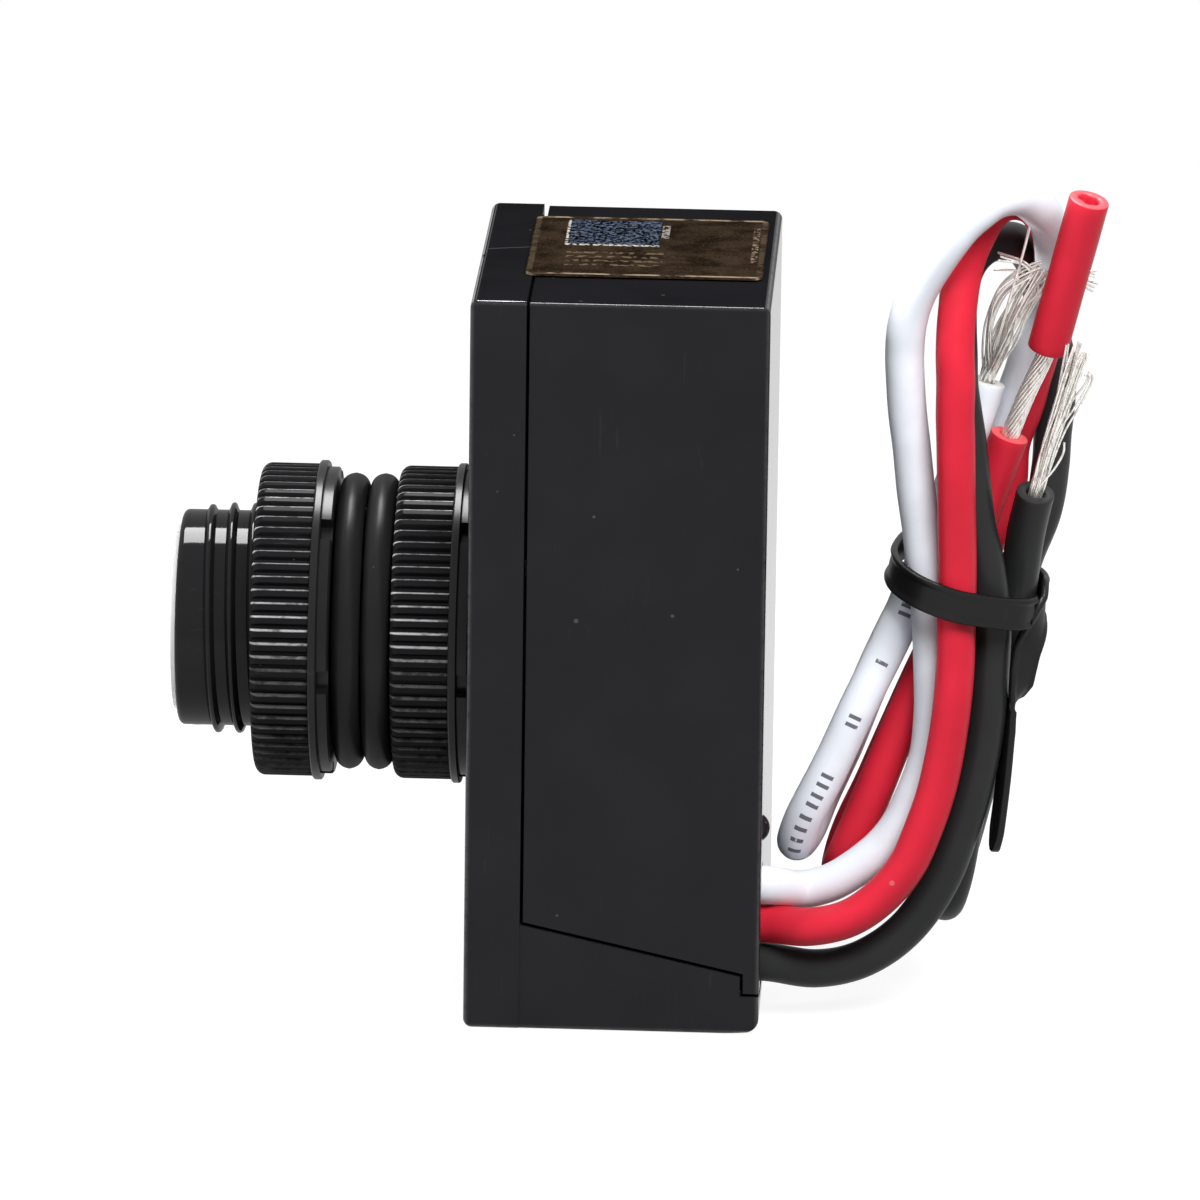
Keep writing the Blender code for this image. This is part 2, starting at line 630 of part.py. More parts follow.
BLACK_ROUTE = [
    (24.7, -10.3, 3.7), (27.3, -10.0, 4.1), (29.4, -9.9, 5.2),
    (31.2, -9.8, 6.8), (32.7, -9.6, 8.9), (33.8, -9.4, 11.1),
    (34.6, -9.2, 13.5), (35.4, -9.0, 16.2), (36.0, -8.8, 19.1),
    (36.4, -8.7, 22.5), (36.5, -8.6, 25.2), (36.6, -8.5, 28.1),
    (36.3, -8.5, 31.1), (35.9, -8.4, 33.6), (35.4, -8.2, 35.4),
    (35.0, -8.0, 38.1), (34.6, -7.6, 41.2), (34.2, -7.1, 43.5),
    (33.9, -6.7, 45.4), (33.8, -6.0, 47.4), (33.7, -5.2, 49.2),
    (33.7, -4.2, 50.9), (34.0, -3.0, 52.4), (34.6, -2.1, 53.4),
    (35.5, -1.2, 54.0), (36.6, 0.1, 54.0), (37.5, 1.6, 53.6),
    (38.3, 3.0, 52.7), (39.0, 4.1, 51.3), (39.4, 4.8, 49.5),
    (39.8, 5.2, 47.7), (40.3, 5.1, 45.7), (40.7, 4.9, 43.9),
    (40.7, 4.3, 41.6), (40.5, 3.4, 39.4), (40.4, 1.9, 37.4),
    (39.9, -0.5, 34.6), (38.6, -2.1, 31.4), (37.8, -2.7, 27.0),
    (37.2, -2.7, 22.5), (36.4, -2.6, 18.0), (35.5, -2.3, 14.0),
    (34.8, -2.0, 11.0), (34.2, -2.2, 9.0), (33.8, -3.1, 7.4),
    (33.7, -4.6, 7.1), (34.0, -5.8, 8.2), (34.4, -6.2, 10.0),
    (35.0, -6.1, 13.8), (36.0, -5.9, 18.0), (37.0, -5.7, 22.5),
    (37.8, -5.6, 27.0), (38.3, -5.8, 30.5), (38.8, -6.6, 34.8),
    (39.4, -7.7, 38.0)]


def smooth_route(points, step):
    """Points every step along a smooth curve through the given points."""
    pts = np.array(points, float)
    ring = np.vstack([2 * pts[0] - pts[1], pts, 2 * pts[-1] - pts[-2]])
    fine = []
    for p0, p1, p2, p3 in zip(ring, ring[1:], ring[2:], ring[3:]):
        t1 = np.linalg.norm(p1 - p0) ** 0.5
        t2 = t1 + np.linalg.norm(p2 - p1) ** 0.5
        t3 = t2 + np.linalg.norm(p3 - p2) ** 0.5
        for t in np.linspace(t1, t2, 12, endpoint=False):
            a1 = (t1 - t) / t1 * p0 + t / t1 * p1
            a2 = (t2 - t) / (t2 - t1) * p1 + (t - t1) / (t2 - t1) * p2
            a3 = (t3 - t) / (t3 - t2) * p2 + (t - t2) / (t3 - t2) * p3
            b1 = (t2 - t) / t2 * a1 + t / t2 * a2
            b2 = (t3 - t) / (t3 - t1) * a2 + (t - t1) / (t3 - t1) * a3
            fine.append((t2 - t) / (t2 - t1) * b1 + (t - t1) / (t2 - t1) * b2)
    fine.append(pts[-1])
    fine = np.array(fine)
    run = np.concatenate([[0], np.cumsum(
        np.linalg.norm(np.diff(fine, axis=0), axis=1))])
    count = max(2, int(round(run[-1] / step)))
    marks = np.linspace(0, run[-1], count + 1)
    return np.stack([np.interp(marks, run, fine[:, k]) for k in range(3)], 1)


def wire(name, points, radii, mat, resolution=2):
    """A round wire along points, its radius given point by point."""
    curve = bpy.data.curves.new(name, "CURVE")
    curve.dimensions = "3D"
    curve.bevel_depth = max(radii)
    curve.bevel_resolution = resolution
    curve.render_resolution_u = 0
    curve.use_fill_caps = True
    spline = curve.splines.new("POLY")
    spline.points.add(len(points) - 1)
    for point, co, radius in zip(spline.points, points, radii):
        point.co = (*co, 1)
        point.radius = radius / max(radii)
    return put(bpy.data.objects.new(name, curve), name, mat)


def outside(point):
    """A route point in metres, kept at its distance from the rear face."""
    return Vector(point) / 1000 + Vector((REAR_X - ROUTE_REAR, 0, 0))


def lead(name, route, exit_z, mat):
    start = Vector((REAR_X - LEAD_INSIDE, LEAD_EXIT_Y, exit_z))
    leave = Vector((REAR_X + 0.0004, LEAD_EXIT_Y, exit_z))
    path = [start, leave] + [outside(p) for p in route]
    points = smooth_route(path, LEAD_STEP)
    return wire(name, points, [LEAD_R] * len(points), mat)


def strands(name, route, r0, r1, mat=TINNED):
    points = smooth_route([outside(p) for p in route], 0.0016)
    radii = np.linspace(r0, r1, len(points))
    return wire(name, points, list(radii), mat, 1)


def leads():
    lead("white_lead", WHITE_ROUTE, LEAD_TOP_Z, WHITE_PVC)
    lead("red_lead", RED_ROUTE, LEAD_LOW_Z + LEAD_PITCH, RED_PVC)
    lead("black_lead", BLACK_ROUTE, LEAD_LOW_Z, BLACK_PVC)
    strands("white_strands", [(35.95, -3.45, 45.2), (37.0, -4.6, 48.6),
                              (38.5, -6.0, 52.6)], CORE_R, 0.0013)
    strands("red_strands", [(37.65, -5.6, 41.9), (38.6, -6.1, 44.6),
                            (39.8, -6.8, 47.6)], CORE_R, CORE_R)
    strands("black_strands", [(39.55, -7.85, 38.4), (41.2, -8.9, 43.4),
                              (42.5, -9.6, 48.0)], CORE_R, 0.0012)


def slug():
    """Cut piece of insulation, pushed half off the red lead's end."""
    low = outside((39.98, -6.9, 48.1))
    way = Vector((2.8, -2.5, 12.0)).normalized()
    obj = rod("red_slug", SLUG_R, SLUG_L, low + way * SLUG_L / 2, way,
              RED_PVC, 16)
    hole = rod("slug_hole", CORE_R, SLUG_L + 0.002, low + way * SLUG_L / 2,
               way, sides=10, cutter=True)
    cut(obj, hole)
    return obj


# ------------------------------------------------------------ twist tie
def band(points, thickness):
    """Outline of a strip of the given thickness along a flat path."""
    pts = np.array(points)
    way = np.gradient(pts, axis=0)
    way /= np.linalg.norm(way, axis=1)[:, None]
    side = np.stack([-way[:, 1], way[:, 0]], 1) * thickness / 2
    return [Vector(p) for p in np.vstack([pts + side, (pts - side)[::-1]])]


def twist_tie():
    """Paper-thin strip looped round the nine legs, its tails hanging."""
    # loop, in the tilted plane's own (x, y), in millimetres
    loop = [(5.8, 0.4), (5.9, -1.5), (4.7, -3.9), (2.4, -5.7), (-0.6, -6.7),
            (-3.4, -5.5), (-5.3, -3.2), (-6.1, -0.4), (-5.9, 2.6),
            (-4.6, 6.6), (-3.0, 8.4), (-0.9, 8.5), (1.0, 7.1), (3.0, 5.6),
            (4.9, 4.8), (5.8, 2.4)]
    flat = smooth_route([(x / 1000, y / 1000, 0) for x, y in loop],
                        0.0012)[:, :2]
    place = Matrix.Translation(outside((34.7, -5.8, 30.8))) @ \
        Matrix.Rotation(math.radians(TIE_TILT), 4, "Y")
    plate("twist_tie", band(flat, TIE_T), TIE_W, place, TIE)
    # tails: down beside the leads, folded, and on to the free end
    tail = [(40.75, 28.2), (40.7, 26.3), (40.2, 24.0), (39.8, 22.8),
            (39.2, 22.3), (38.75, 21.4), (38.5, 19.0), (38.2, 15.0),
            (37.9, 12.0)]
    flat = smooth_route([(x / 1000, z / 1000, 0) for x, z in tail],
                        0.0012)[:, :2]
    place = Matrix.Translation(outside((0, -7.2, 0))) @ \
        Matrix.Rotation(math.radians(90), 4, "X")
    plate("tie_tail", band(flat, TIE_T), TIE_W * 0.9, place, TIE)


# ------------------------------------------------------------- assembly
front_shell()
rear_cover()
lens()
nut("inner_nut", INNER_NUT_Z)
nut("outer_nut", OUTER_NUT_Z)
o_ring("o_ring_inner", RINGS_Z + RING_SECTION_R)
o_ring("o_ring_outer", RINGS_Z + 3 * RING_SECTION_R + SEAT_GAP)
board()
sensor()
components()
label()
leads()
slug()
twist_tie()
bpy.context.view_layer.update()
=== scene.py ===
"""Photocell switch: a wire-in light sensor in a black housing, with a
threaded snout, two knurled nuts, two sealing rings and three folded leads.

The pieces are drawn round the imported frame, in metres.  The snout points to
-X, the leads leave the rear face at +X and +Z is up.
"""
import math

import bpy
import numpy as np
from bpy.props import FloatProperty, FloatVectorProperty, IntProperty
from mathutils import Matrix, Vector


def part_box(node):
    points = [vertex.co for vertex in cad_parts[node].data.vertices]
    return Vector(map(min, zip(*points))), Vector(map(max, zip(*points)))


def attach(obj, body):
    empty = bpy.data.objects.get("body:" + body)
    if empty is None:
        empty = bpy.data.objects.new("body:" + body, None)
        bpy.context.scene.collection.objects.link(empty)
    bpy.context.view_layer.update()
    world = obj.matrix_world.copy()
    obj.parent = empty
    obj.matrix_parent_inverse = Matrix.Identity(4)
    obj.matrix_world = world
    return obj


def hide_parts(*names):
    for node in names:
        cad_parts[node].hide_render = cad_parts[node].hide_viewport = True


bl_info = {
    "name": "Photocell switch",
    "version": (1, 0, 0),
    "blender": (4, 5, 0),
    "location": "View3D > Sidebar > Photocell",
    "description": "Builds a wire-in photocell switch piece by piece",
    "category": "Object",
}

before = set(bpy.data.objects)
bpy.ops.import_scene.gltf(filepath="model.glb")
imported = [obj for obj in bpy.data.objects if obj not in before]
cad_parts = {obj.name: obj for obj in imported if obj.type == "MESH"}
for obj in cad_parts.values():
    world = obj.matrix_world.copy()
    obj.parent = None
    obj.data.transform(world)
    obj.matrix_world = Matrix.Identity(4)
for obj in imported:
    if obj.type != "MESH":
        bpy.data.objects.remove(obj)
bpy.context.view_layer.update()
MM = 0.001
TURN = 2 * math.pi

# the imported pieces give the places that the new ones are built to
SHELL_LOW, SHELL_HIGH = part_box("front_shell")
COVER_LOW, COVER_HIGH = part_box("rear_cover")
LENS_LOW, LENS_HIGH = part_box("lens")
NUT_LOW, NUT_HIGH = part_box("inner_nut")
RING_LOW, RING_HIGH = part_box("o_ring_inner")
LABEL_LOW, LABEL_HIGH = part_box("rating_label")
BOX_H = SHELL_HIGH.z
BOX_W = SHELL_HIGH.y - SHELL_LOW.y
REAR_X = SHELL_HIGH.x
AXIS_Z = BOX_H / 2 - 0.0009


# ------------------------------------------------------------ settings
def size(label, default, text, **more):
    """A length in metres that a user may change."""
    return FloatProperty(name=label, description=text, default=default,
                         unit="LENGTH", subtype="DISTANCE", precision=5,
                         **more)


def tint(label, default, text):
    """A linear colour that a user may change."""
    return FloatVectorProperty(name=label, description=text, default=default,
                               size=3, min=0.0, max=1.0, subtype="COLOR")


def share(label, default, text):
    """A plain number from 0 to 1."""
    return FloatProperty(name=label, description=text, default=default,
                         min=0.0, max=1.0, subtype="FACTOR")


def watts(label, default):
    """A lamp's power."""
    return FloatProperty(name=label, description="Power in watts",
                         default=default, min=0.0, unit="POWER")


class HousingSettings(bpy.types.PropertyGroup):
    """Sizes and colours of the housing and its label."""
    depth: size("Depth", 0.0207, "Front face to rear face")
    cap_depth: size("Cap depth", 0.0039, "Front face to the seam")
    seam: size("Seam", 0.0002, "Gap between the cap and the cover")
    wall: size("Wall", 0.0015, "Thickness of the moulded walls")
    edge_radius: size("Edge radius", 0.00034, "Rounding of outer edges")
    plastic: tint("Plastic", (0.0105, 0.0105, 0.0122), "Matte black plastic")
    film: tint("Label film", (0.0270, 0.0180, 0.0112), "Ground of the label")
    print_ink: tint("Label block", (0.0150, 0.0190, 0.0280), "Printed block")


class SnoutSettings(bpy.types.PropertyGroup):
    """Sizes and colours of the threaded snout and its lens."""
    length: size("Length", 0.0209, "Front face to the snout's tip")
    root_radius: size("Root radius", 0.00762, "Radius at the thread's root")
    crest_radius: size("Crest radius", 0.00815, "Radius at the crest")
    pitch: size("Pitch", 0.00152, "Advance of the thread in one turn")
    bore_radius: size("Bore", 0.0056, "Radius of the bore")
    seat_radius: size("Lens seat", 0.0067, "Radius of the lens's seat")
    seat_depth: size("Seat depth", 0.0024, "Depth of the lens's seat")
    plastic: tint("Plastic", (0.0070, 0.0070, 0.0078), "Glossy plastic")


class NutSettings(bpy.types.PropertyGroup):
    """Sizes and colours of the knurled nuts and the sealing rings."""
    ribs: IntProperty(name="Ribs", description="Ribs round each nut",
                      default=72, min=24, max=120)
    radius: size("Rib radius", 0.01105, "Radius over the ribs")
    rib_depth: size("Rib depth", 0.00036, "Depth of the grooves")
    length: size("Length", 0.0055, "Length of a nut along the snout")
    collar_radius: size("Collar", 0.0113, "Radius of the thin collar")
    foot_radius: size("Foot ring", 0.01085, "Radius of the foot ring")
    ring_section: size("Ring section", 0.0010, "Section radius of a ring")
    plastic: tint("Plastic", (0.0085, 0.0085, 0.0092), "Nut plastic")
    rubber: tint("Rubber", (0.0120, 0.0120, 0.0125), "Sealing ring rubber")


class LeadSettings(bpy.types.PropertyGroup):
    """Sizes and colours of the leads, their wires and the tie."""
    radius: size("Insulation radius", 0.00135, "Outside of a lead")
    core_radius: size("Core radius", 0.00065, "Bundle of strands")
    strand_radius: size("Strand radius", 0.000082, "One tinned strand")
    white: tint("White", (0.82, 0.86, 0.93), "White insulation")
    red: tint("Red", (0.61, 0.0205, 0.042), "Red insulation")
    black: tint("Black", (0.0200, 0.0205, 0.0210), "Black insulation")
    tinned: tint("Tinned wire", (0.90, 0.88, 0.84), "Tinned copper strands")
    tie_width: size("Tie width", 0.0023, "Width of the tie's strip")
    tie_thickness: size("Tie thickness", 0.00045, "Thickness of the strip")
    tie: tint("Tie", (0.0105, 0.0105, 0.0105), "Vinyl of the tie")


class StageSettings(bpy.types.PropertyGroup):
    """Floor, light and camera."""
    floor_reach: size("Floor reach", 0.30, "Radius at which it has faded")
    top_power: watts("Top lamp", 0.6)
    card_power: watts("Gloss card", 8.5)
    front_power: watts("Front lamp", 1.32)
    side_power: watts("Side lamp", 1.1)
    sky: share("Sky", 0.28, "Strength of the even light from all round")
    distance: size("Camera distance", 0.80307, "Camera to target")
    lens: FloatProperty(name="Focal length", default=341.34,
                        description="Focal length in millimetres",
                        min=20.0, subtype="DISTANCE_CAMERA")


def settings(name):
    return getattr(bpy.context.scene, "photocell_" + name)


# ------------------------------------------------------------- surfaces
def skin(name, grid, closed=False, uv=None, sharp=38.0):
    """A mesh from one or more tubes given as a grid of points.

    The grid is (tubes, rows, columns, xyz) or (rows, columns, xyz).  Columns
    go once round and are joined up.  Rows are joined up too if closed is
    true, and otherwise each end is closed by a fan to its middle.  uv has
    the grid's shape with one more column, so a pattern meets its own start.
    """
    grid = np.asarray(grid, float)
    if grid.ndim == 3:
        grid = grid[None]
        uv = None if uv is None else np.asarray(uv, float)[None]
    tubes, rows, cols, _ = grid.shape
    if uv is None:
        round_, along = np.meshgrid(np.linspace(0, 1, cols + 1),
                                    np.linspace(0, 1, rows))
        uv = np.broadcast_to(np.stack([round_, along], -1),
                             (tubes, rows, cols + 1, 2))
    index = np.arange(tubes * rows * cols).reshape(tubes, rows, cols)
    if closed:
        index = np.concatenate([index, index[:, :1]], 1)
        uv = np.concatenate([uv, uv[:, -1:]], 1)
    index = np.concatenate([index, index[:, :, :1]], 2)

    def corners(field):
        return np.stack([field[:, :-1, :-1], field[:, :-1, 1:],
                         field[:, 1:, 1:], field[:, 1:, :-1]], 3)

    quads = corners(index).reshape(-1, 4)
    quad_uv = corners(uv).reshape(-1, 4, 2)
    points = grid.reshape(-1, 3)
    tris = np.zeros((0, 3), int)
    tri_uv = np.zeros((0, 3, 2))
    if not closed:
        ends = grid[:, [0, -1]].mean(2)
        pole = len(points) + np.arange(tubes * 2).reshape(tubes, 2)
        points = np.vstack([points, ends.reshape(-1, 3)])
        for k in (0, -1):
            ring, ring_uv = index[:, k], uv[:, k]
            fan = [np.broadcast_to(pole[:, k, None], ring[:, 1:].shape),
                   ring[:, 1:], ring[:, :-1]]
            mid = (ring_uv[:, 1:] + ring_uv[:, :-1]) / 2
            fan_uv = [mid, ring_uv[:, 1:], ring_uv[:, :-1]]
            if k:
                # the far end's fan runs the other way round
                fan = [fan[0], fan[2], fan[1]]
                fan_uv = [fan_uv[0], fan_uv[2], fan_uv[1]]
            tris = np.vstack([tris, np.stack(fan, -1).reshape(-1, 3)])
            tri_uv = np.vstack([tri_uv,
                                np.stack(fan_uv, 2).reshape(-1, 3, 2)])
    # the signed volume says which way round the faces are
    a, b, c, d = (points[quads[:, k]] for k in range(4))
    volume = (a * np.cross(b, c)).sum() + (a * np.cross(c, d)).sum()
    a, b, c = (points[tris[:, k]] for k in range(3))
    if volume + (a * np.cross(b, c)).sum() < 0:
        quads, tris = quads[:, ::-1], tris[:, ::-1]
        quad_uv, tri_uv = quad_uv[:, ::-1], tri_uv[:, ::-1]
    loops = np.concatenate([quads.ravel(), tris.ravel()])
    starts = np.concatenate([np.arange(len(quads)) * 4,
                             len(quads) * 4 + np.arange(len(tris)) * 3])
    mesh = bpy.data.meshes.new(name)
    mesh.vertices.add(len(points))
    mesh.vertices.foreach_set("co", points.ravel())
    mesh.loops.add(len(loops))
    mesh.loops.foreach_set("vertex_index", loops.astype(np.int32))
    mesh.polygons.add(len(starts))
    mesh.polygons.foreach_set("loop_start", starts.astype(np.int32))
    mesh.update(calc_edges=True)
    layer = mesh.uv_layers.new(name="lay")
    layer.uv.foreach_set("vector", np.concatenate(
        [quad_uv.reshape(-1, 2), tri_uv.reshape(-1, 2)]).ravel())
    mesh.shade_smooth()
    mesh.set_sharp_from_angle(angle=math.radians(sharp))
    piece = bpy.data.objects.new(name, mesh)
    bpy.context.scene.collection.objects.link(piece)
    return piece


def smooth_line(points, step=0.0004):
    """Points at even steps along a smooth curve through the given points.

    Each span is the cubic blend of its four nearest points, with knots as
    far apart as the square roots of their distances."""
    pts = np.asarray(points, float)
    ring = np.vstack([2 * pts[0] - pts[1], pts, 2 * pts[-1] - pts[-2]])
    p0, p1, p2, p3 = ring[:-3], ring[1:-2], ring[2:-1], ring[3:]

    def knot(a, b):
        return np.sqrt(np.linalg.norm(b - a, axis=1))[:, None, None]

    t1 = knot(p0, p1)
    t2 = t1 + knot(p1, p2)
    t3 = t2 + knot(p2, p3)
    t = t1 + (t2 - t1) * np.linspace(0, 1, 12, endpoint=False)[None, :, None]
    p0, p1, p2, p3 = (p[:, None, :] for p in (p0, p1, p2, p3))
    a1 = (t1 - t) / t1 * p0 + t / t1 * p1
    a2 = (t2 - t) / (t2 - t1) * p1 + (t - t1) / (t2 - t1) * p2
    a3 = (t3 - t) / (t3 - t2) * p2 + (t - t2) / (t3 - t2) * p3
    b1 = (t2 - t) / t2 * a1 + t / t2 * a2
    b2 = (t3 - t) / (t3 - t1) * a2 + (t - t1) / (t3 - t1) * a3
    fine = (t2 - t) / (t2 - t1) * b1 + (t - t1) / (t2 - t1) * b2
    fine = np.vstack([fine.reshape(-1, 3), pts[-1]])
    run = arc(fine)
    marks = np.linspace(0, run[-1], max(2, int(round(run[-1] / step))) + 1)
    return at(fine, run, marks)


def arc(line):
    """Distance along a line at each of its points."""
    return np.concatenate([[0], np.cumsum(
        np.linalg.norm(np.diff(line, axis=0), axis=1))])


def at(line, run, marks):
    """The line's points at given distances along it."""
    return np.stack([np.interp(marks, run, line[:, k]) for k in range(3)], 1)


def unit(v):
    return v / np.linalg.norm(v, axis=-1, keepdims=True)


def frames(line, across=(0.0, 1.0, 0.0)):
    """Way along a line, and two directions square to it, at each point.

    The third is the given direction with its part along the line taken
    off, so it stays as near to that direction as it can."""
    way = unit(np.gradient(line, axis=-2))
    side = unit(np.cross(way, np.asarray(across, float)))
    return way, side, np.cross(side, way)


def tube(line, radius, sides, across=(0.0, 1.0, 0.0)):
    """Rings of points round a line: middle + radius (cos a, sin a).

    line is (..., points, xyz), radius the same without xyz or one number."""
    angle = np.linspace(0, TURN, sides, endpoint=False)[:, None]
    _, side, up = frames(line, across)
    radius = np.broadcast_to(radius, line.shape[:-1])[..., None, None]
    return line[..., None, :] + radius * (
        np.cos(angle) * side[..., None, :] + np.sin(angle) * up[..., None, :])


def turned(radius, forward, angle):
    """Points round the snout's axis from radius, distance forward of the
    housing's front face, and angle from straight up towards the near side."""
    radius, forward, angle = np.broadcast_arrays(radius, forward, angle)
    return np.stack([SNOUT_X - forward, -radius * np.sin(angle),
                     AXIS_Z + radius * np.cos(angle)], -1)


def rounded(corners, steps=6):
    """A polygon with its corners rounded: corners are (x, y, radius).

    Each arc is a turn about a centre on the corner's bisector."""
    out, owner = [], []
    count = len(corners)
    for i, (x, y, radius) in enumerate(corners):
        here = Vector((x, y))
        if radius <= 0:
            out.append(here[:])
            owner.append(i)
            continue
        before = (Vector(corners[i - 1][:2]) - here).normalized()
        after = (Vector(corners[(i + 1) % count][:2]) - here).normalized()
        half = before.angle(after) / 2
        centre = here + (before + after).normalized() * (
            radius / math.sin(half))
        reach = radius / math.tan(half)
        a, b = here + before * reach - centre, here + after * reach - centre
        sweep = a.angle_signed(b)
        turns = np.linspace(0, -sweep, steps + 1)[:, None]
        arc_ = np.hstack([
            centre.x + a.x * np.cos(turns) - a.y * np.sin(turns),
            centre.y + a.x * np.sin(turns) + a.y * np.cos(turns)])
        out.extend(map(tuple, arc_))
        owner.extend([i] * len(arc_))
    return np.array(out), np.array(owner)


def clad(piece, material):
    """A piece with its one material."""
    piece.data.materials.clear()
    piece.data.materials.append(material)
    return piece


def join(name, pieces):
    """One object from several, with their materials kept in order."""
    for other in bpy.context.selected_objects:
        other.select_set(False)
    for piece in pieces:
        piece.select_set(True)
    bpy.context.view_layer.objects.active = pieces[0]
    bpy.ops.object.join()
    pieces[0].name = pieces[0].data.name = name
    return pieces[0]


def settle(piece):
    """Turn a piece's live modifiers into its mesh."""
    deps = bpy.context.evaluated_depsgraph_get()
    mesh = bpy.data.meshes.new_from_object(piece.evaluated_get(deps))
    piece.modifiers.clear()
    piece.data = mesh
    return piece


def mounted(piece, slot, *nodes):
    """Set a finished piece on the housing's body, in place of CAD nodes."""
    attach(piece, "root")
    if nodes:
        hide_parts(*nodes)
    return piece


# the front face that the snout and the nuts are measured from
SNOUT_X = REAR_X - 0.0207


# ------------------------------------------------------ material helpers
RIBBED_SHARE = 0.66       # of a nut's section, up to its collar
# painted highlight: the pale grey of the ribs' upper edges on their lit side
RIB_HIGHLIGHT = (0.40, 0.40, 0.41)
FACE_REACH = 0.00003      # depth that still counts as a block's face
BLOCK_EDGE_COAT = 1.1     # more glossy skin on a block's rounded edges
BLOCK_WEAR = (("Mask", 0.00035), ("Edge", 0.00040))   # their widths
LINT = (0.30, 0.30, 0.30)
LEAD_LINT = (0.45, 0.44, 0.42)
MARK_REACH = 0.055        # half a printed bar's width, round the lead


def add(tree, kind, inputs=None, **props):
    """A shader node with its options and its inputs set or linked."""
    node = tree.nodes.new("ShaderNode" + kind)
    for key, value in props.items():
        setattr(node, key, value)
    for key, value in (inputs or {}).items():
        if isinstance(value, bpy.types.NodeSocket):
            tree.links.new(value, node.inputs[key])
        else:
            node.inputs[key].default_value = value
    return node


def maths(tree, operation, *values, clamp=False):
    return add(tree, "Math", dict(enumerate(values)), operation=operation,
               use_clamp=clamp).outputs[0]


def times(tree, *values):
    """Product of two or more values."""
    product = values[0]
    for value in values[1:]:
        product = maths(tree, "MULTIPLY", product, value)
    return product


def minus(tree, a, b):
    return maths(tree, "SUBTRACT", a, b)


def apart(tree, a, b):
    """Distance of two values."""
    return maths(tree, "ABSOLUTE", minus(tree, a, b))


def axis(tree, vector, index):
    """One of a vector's three parts."""
    return add(tree, "SeparateXYZ", {0: vector}).outputs[index]


def vector_maths(tree, operation, *values):
    return add(tree, "VectorMath", dict(enumerate(values)),
               operation=operation).outputs[0]


def fade(tree, value, start, end, low=0.0, high=1.0):
    """Value eased from low at start to high at end."""
    return add(tree, "MapRange", {0: value, 1: start, 2: end, 3: low,
                                  4: high},
               interpolation_type="SMOOTHSTEP").outputs[0]


def blend(tree, factor, a, b, mode="MIX"):
    """Mix of two colours."""
    return add(tree, "Mix", {0: factor, 6: a, 7: b}, data_type="RGBA",
               blend_type=mode).outputs[2]


def noise(tree, vector, scale, detail=2.0, roughness=0.5, distortion=0.0):
    return add(tree, "TexNoise", {
        "Vector": vector, "Scale": scale, "Detail": detail,
        "Roughness": roughness, "Distortion": distortion}).outputs[0]


def rgba(colour):
    return (*colour, 1.0)


def effect(name, inputs, outputs, build):
    """A node group with named sockets, made once and then shared."""
    if name in bpy.data.node_groups:
        return bpy.data.node_groups[name]
    tree = bpy.data.node_groups.new(name, "ShaderNodeTree")
    for label, kind, default in inputs:
        socket = tree.interface.new_socket(
            name=label, in_out="INPUT", socket_type="NodeSocket" + kind)
        if default is not None:
            socket.default_value = default
    for label, kind in outputs:
        tree.interface.new_socket(
            name=label, in_out="OUTPUT", socket_type="NodeSocket" + kind)
    start = tree.nodes.new("NodeGroupInput")
    end = tree.nodes.new("NodeGroupOutput")
    made = build(tree, start.outputs)
    for label, value in made.items():
        tree.links.new(value, end.inputs[label])
    return tree


def shade(colour, by):
    """A darker or lighter shade of a colour."""
    return rgba([min(1.0, c * by) for c in colour])


def finish(tree, shader, tone, rough, height=None, depth=0.0):
    """Link a material's colour, roughness and bump to its shader."""
    tree.links.new(tone, shader.inputs["Base Color"])
    tree.links.new(rough, shader.inputs["Roughness"])
    if height is not None:
        bump = add(tree, "Bump", {"Height": height, "Strength": 1.0,
                                  "Distance": depth})
        tree.links.new(bump.outputs[0], shader.inputs["Normal"])


def use(tree, group, inputs):
    """Place an effect in a material."""
    return add(tree, "Group", inputs, node_tree=group).outputs


def grain_effect():
    """Fine spark-eroded skin of a mould: height, and a slow patchiness."""
    def build(tree, given):
        fine = noise(tree, given["Vector"], given["Scale"], 3.0, 0.65)
        coarse = noise(tree, given["Vector"],
                       times(tree, given["Scale"], 0.23), 2.0)
        height = maths(tree, "ADD", fine, times(tree, coarse, 0.6))
        patch = noise(tree, given["Vector"],
                      times(tree, given["Scale"], 0.02), 3.0)
        return {"Height": height, "Patches": fade(tree, patch, 0.3, 0.7)}
    return effect("moulding_grain",
                  [("Vector", "Vector", None), ("Scale", "Float", 6000.0)],
                  [("Height", "Float"), ("Patches", "Float")], build)


def scratch_effect():
    """Thin rubbed lines: the crests of a noise drawn out along one way."""
    def build(tree, given):
        drawn = vector_maths(tree, "MULTIPLY", given["Vector"],
                             given["Stretch"])
        lines = noise(tree, drawn, given["Scale"], 4.0, 0.7, 0.4)
        where = noise(tree, given["Vector"],
                      times(tree, given["Scale"], 0.09), 1.0)
        mask = times(tree, fade(tree, lines, 0.60, 0.68),
                     fade(tree, where, 0.50, 0.68))
        return {"Mask": mask}
    return effect("rubbed_scratches",
                  [("Vector", "Vector", None), ("Scale", "Float", 2500.0),
                   ("Stretch", "Vector", (1.0, 1.0, 0.06))],
                  [("Mask", "Float")], build)


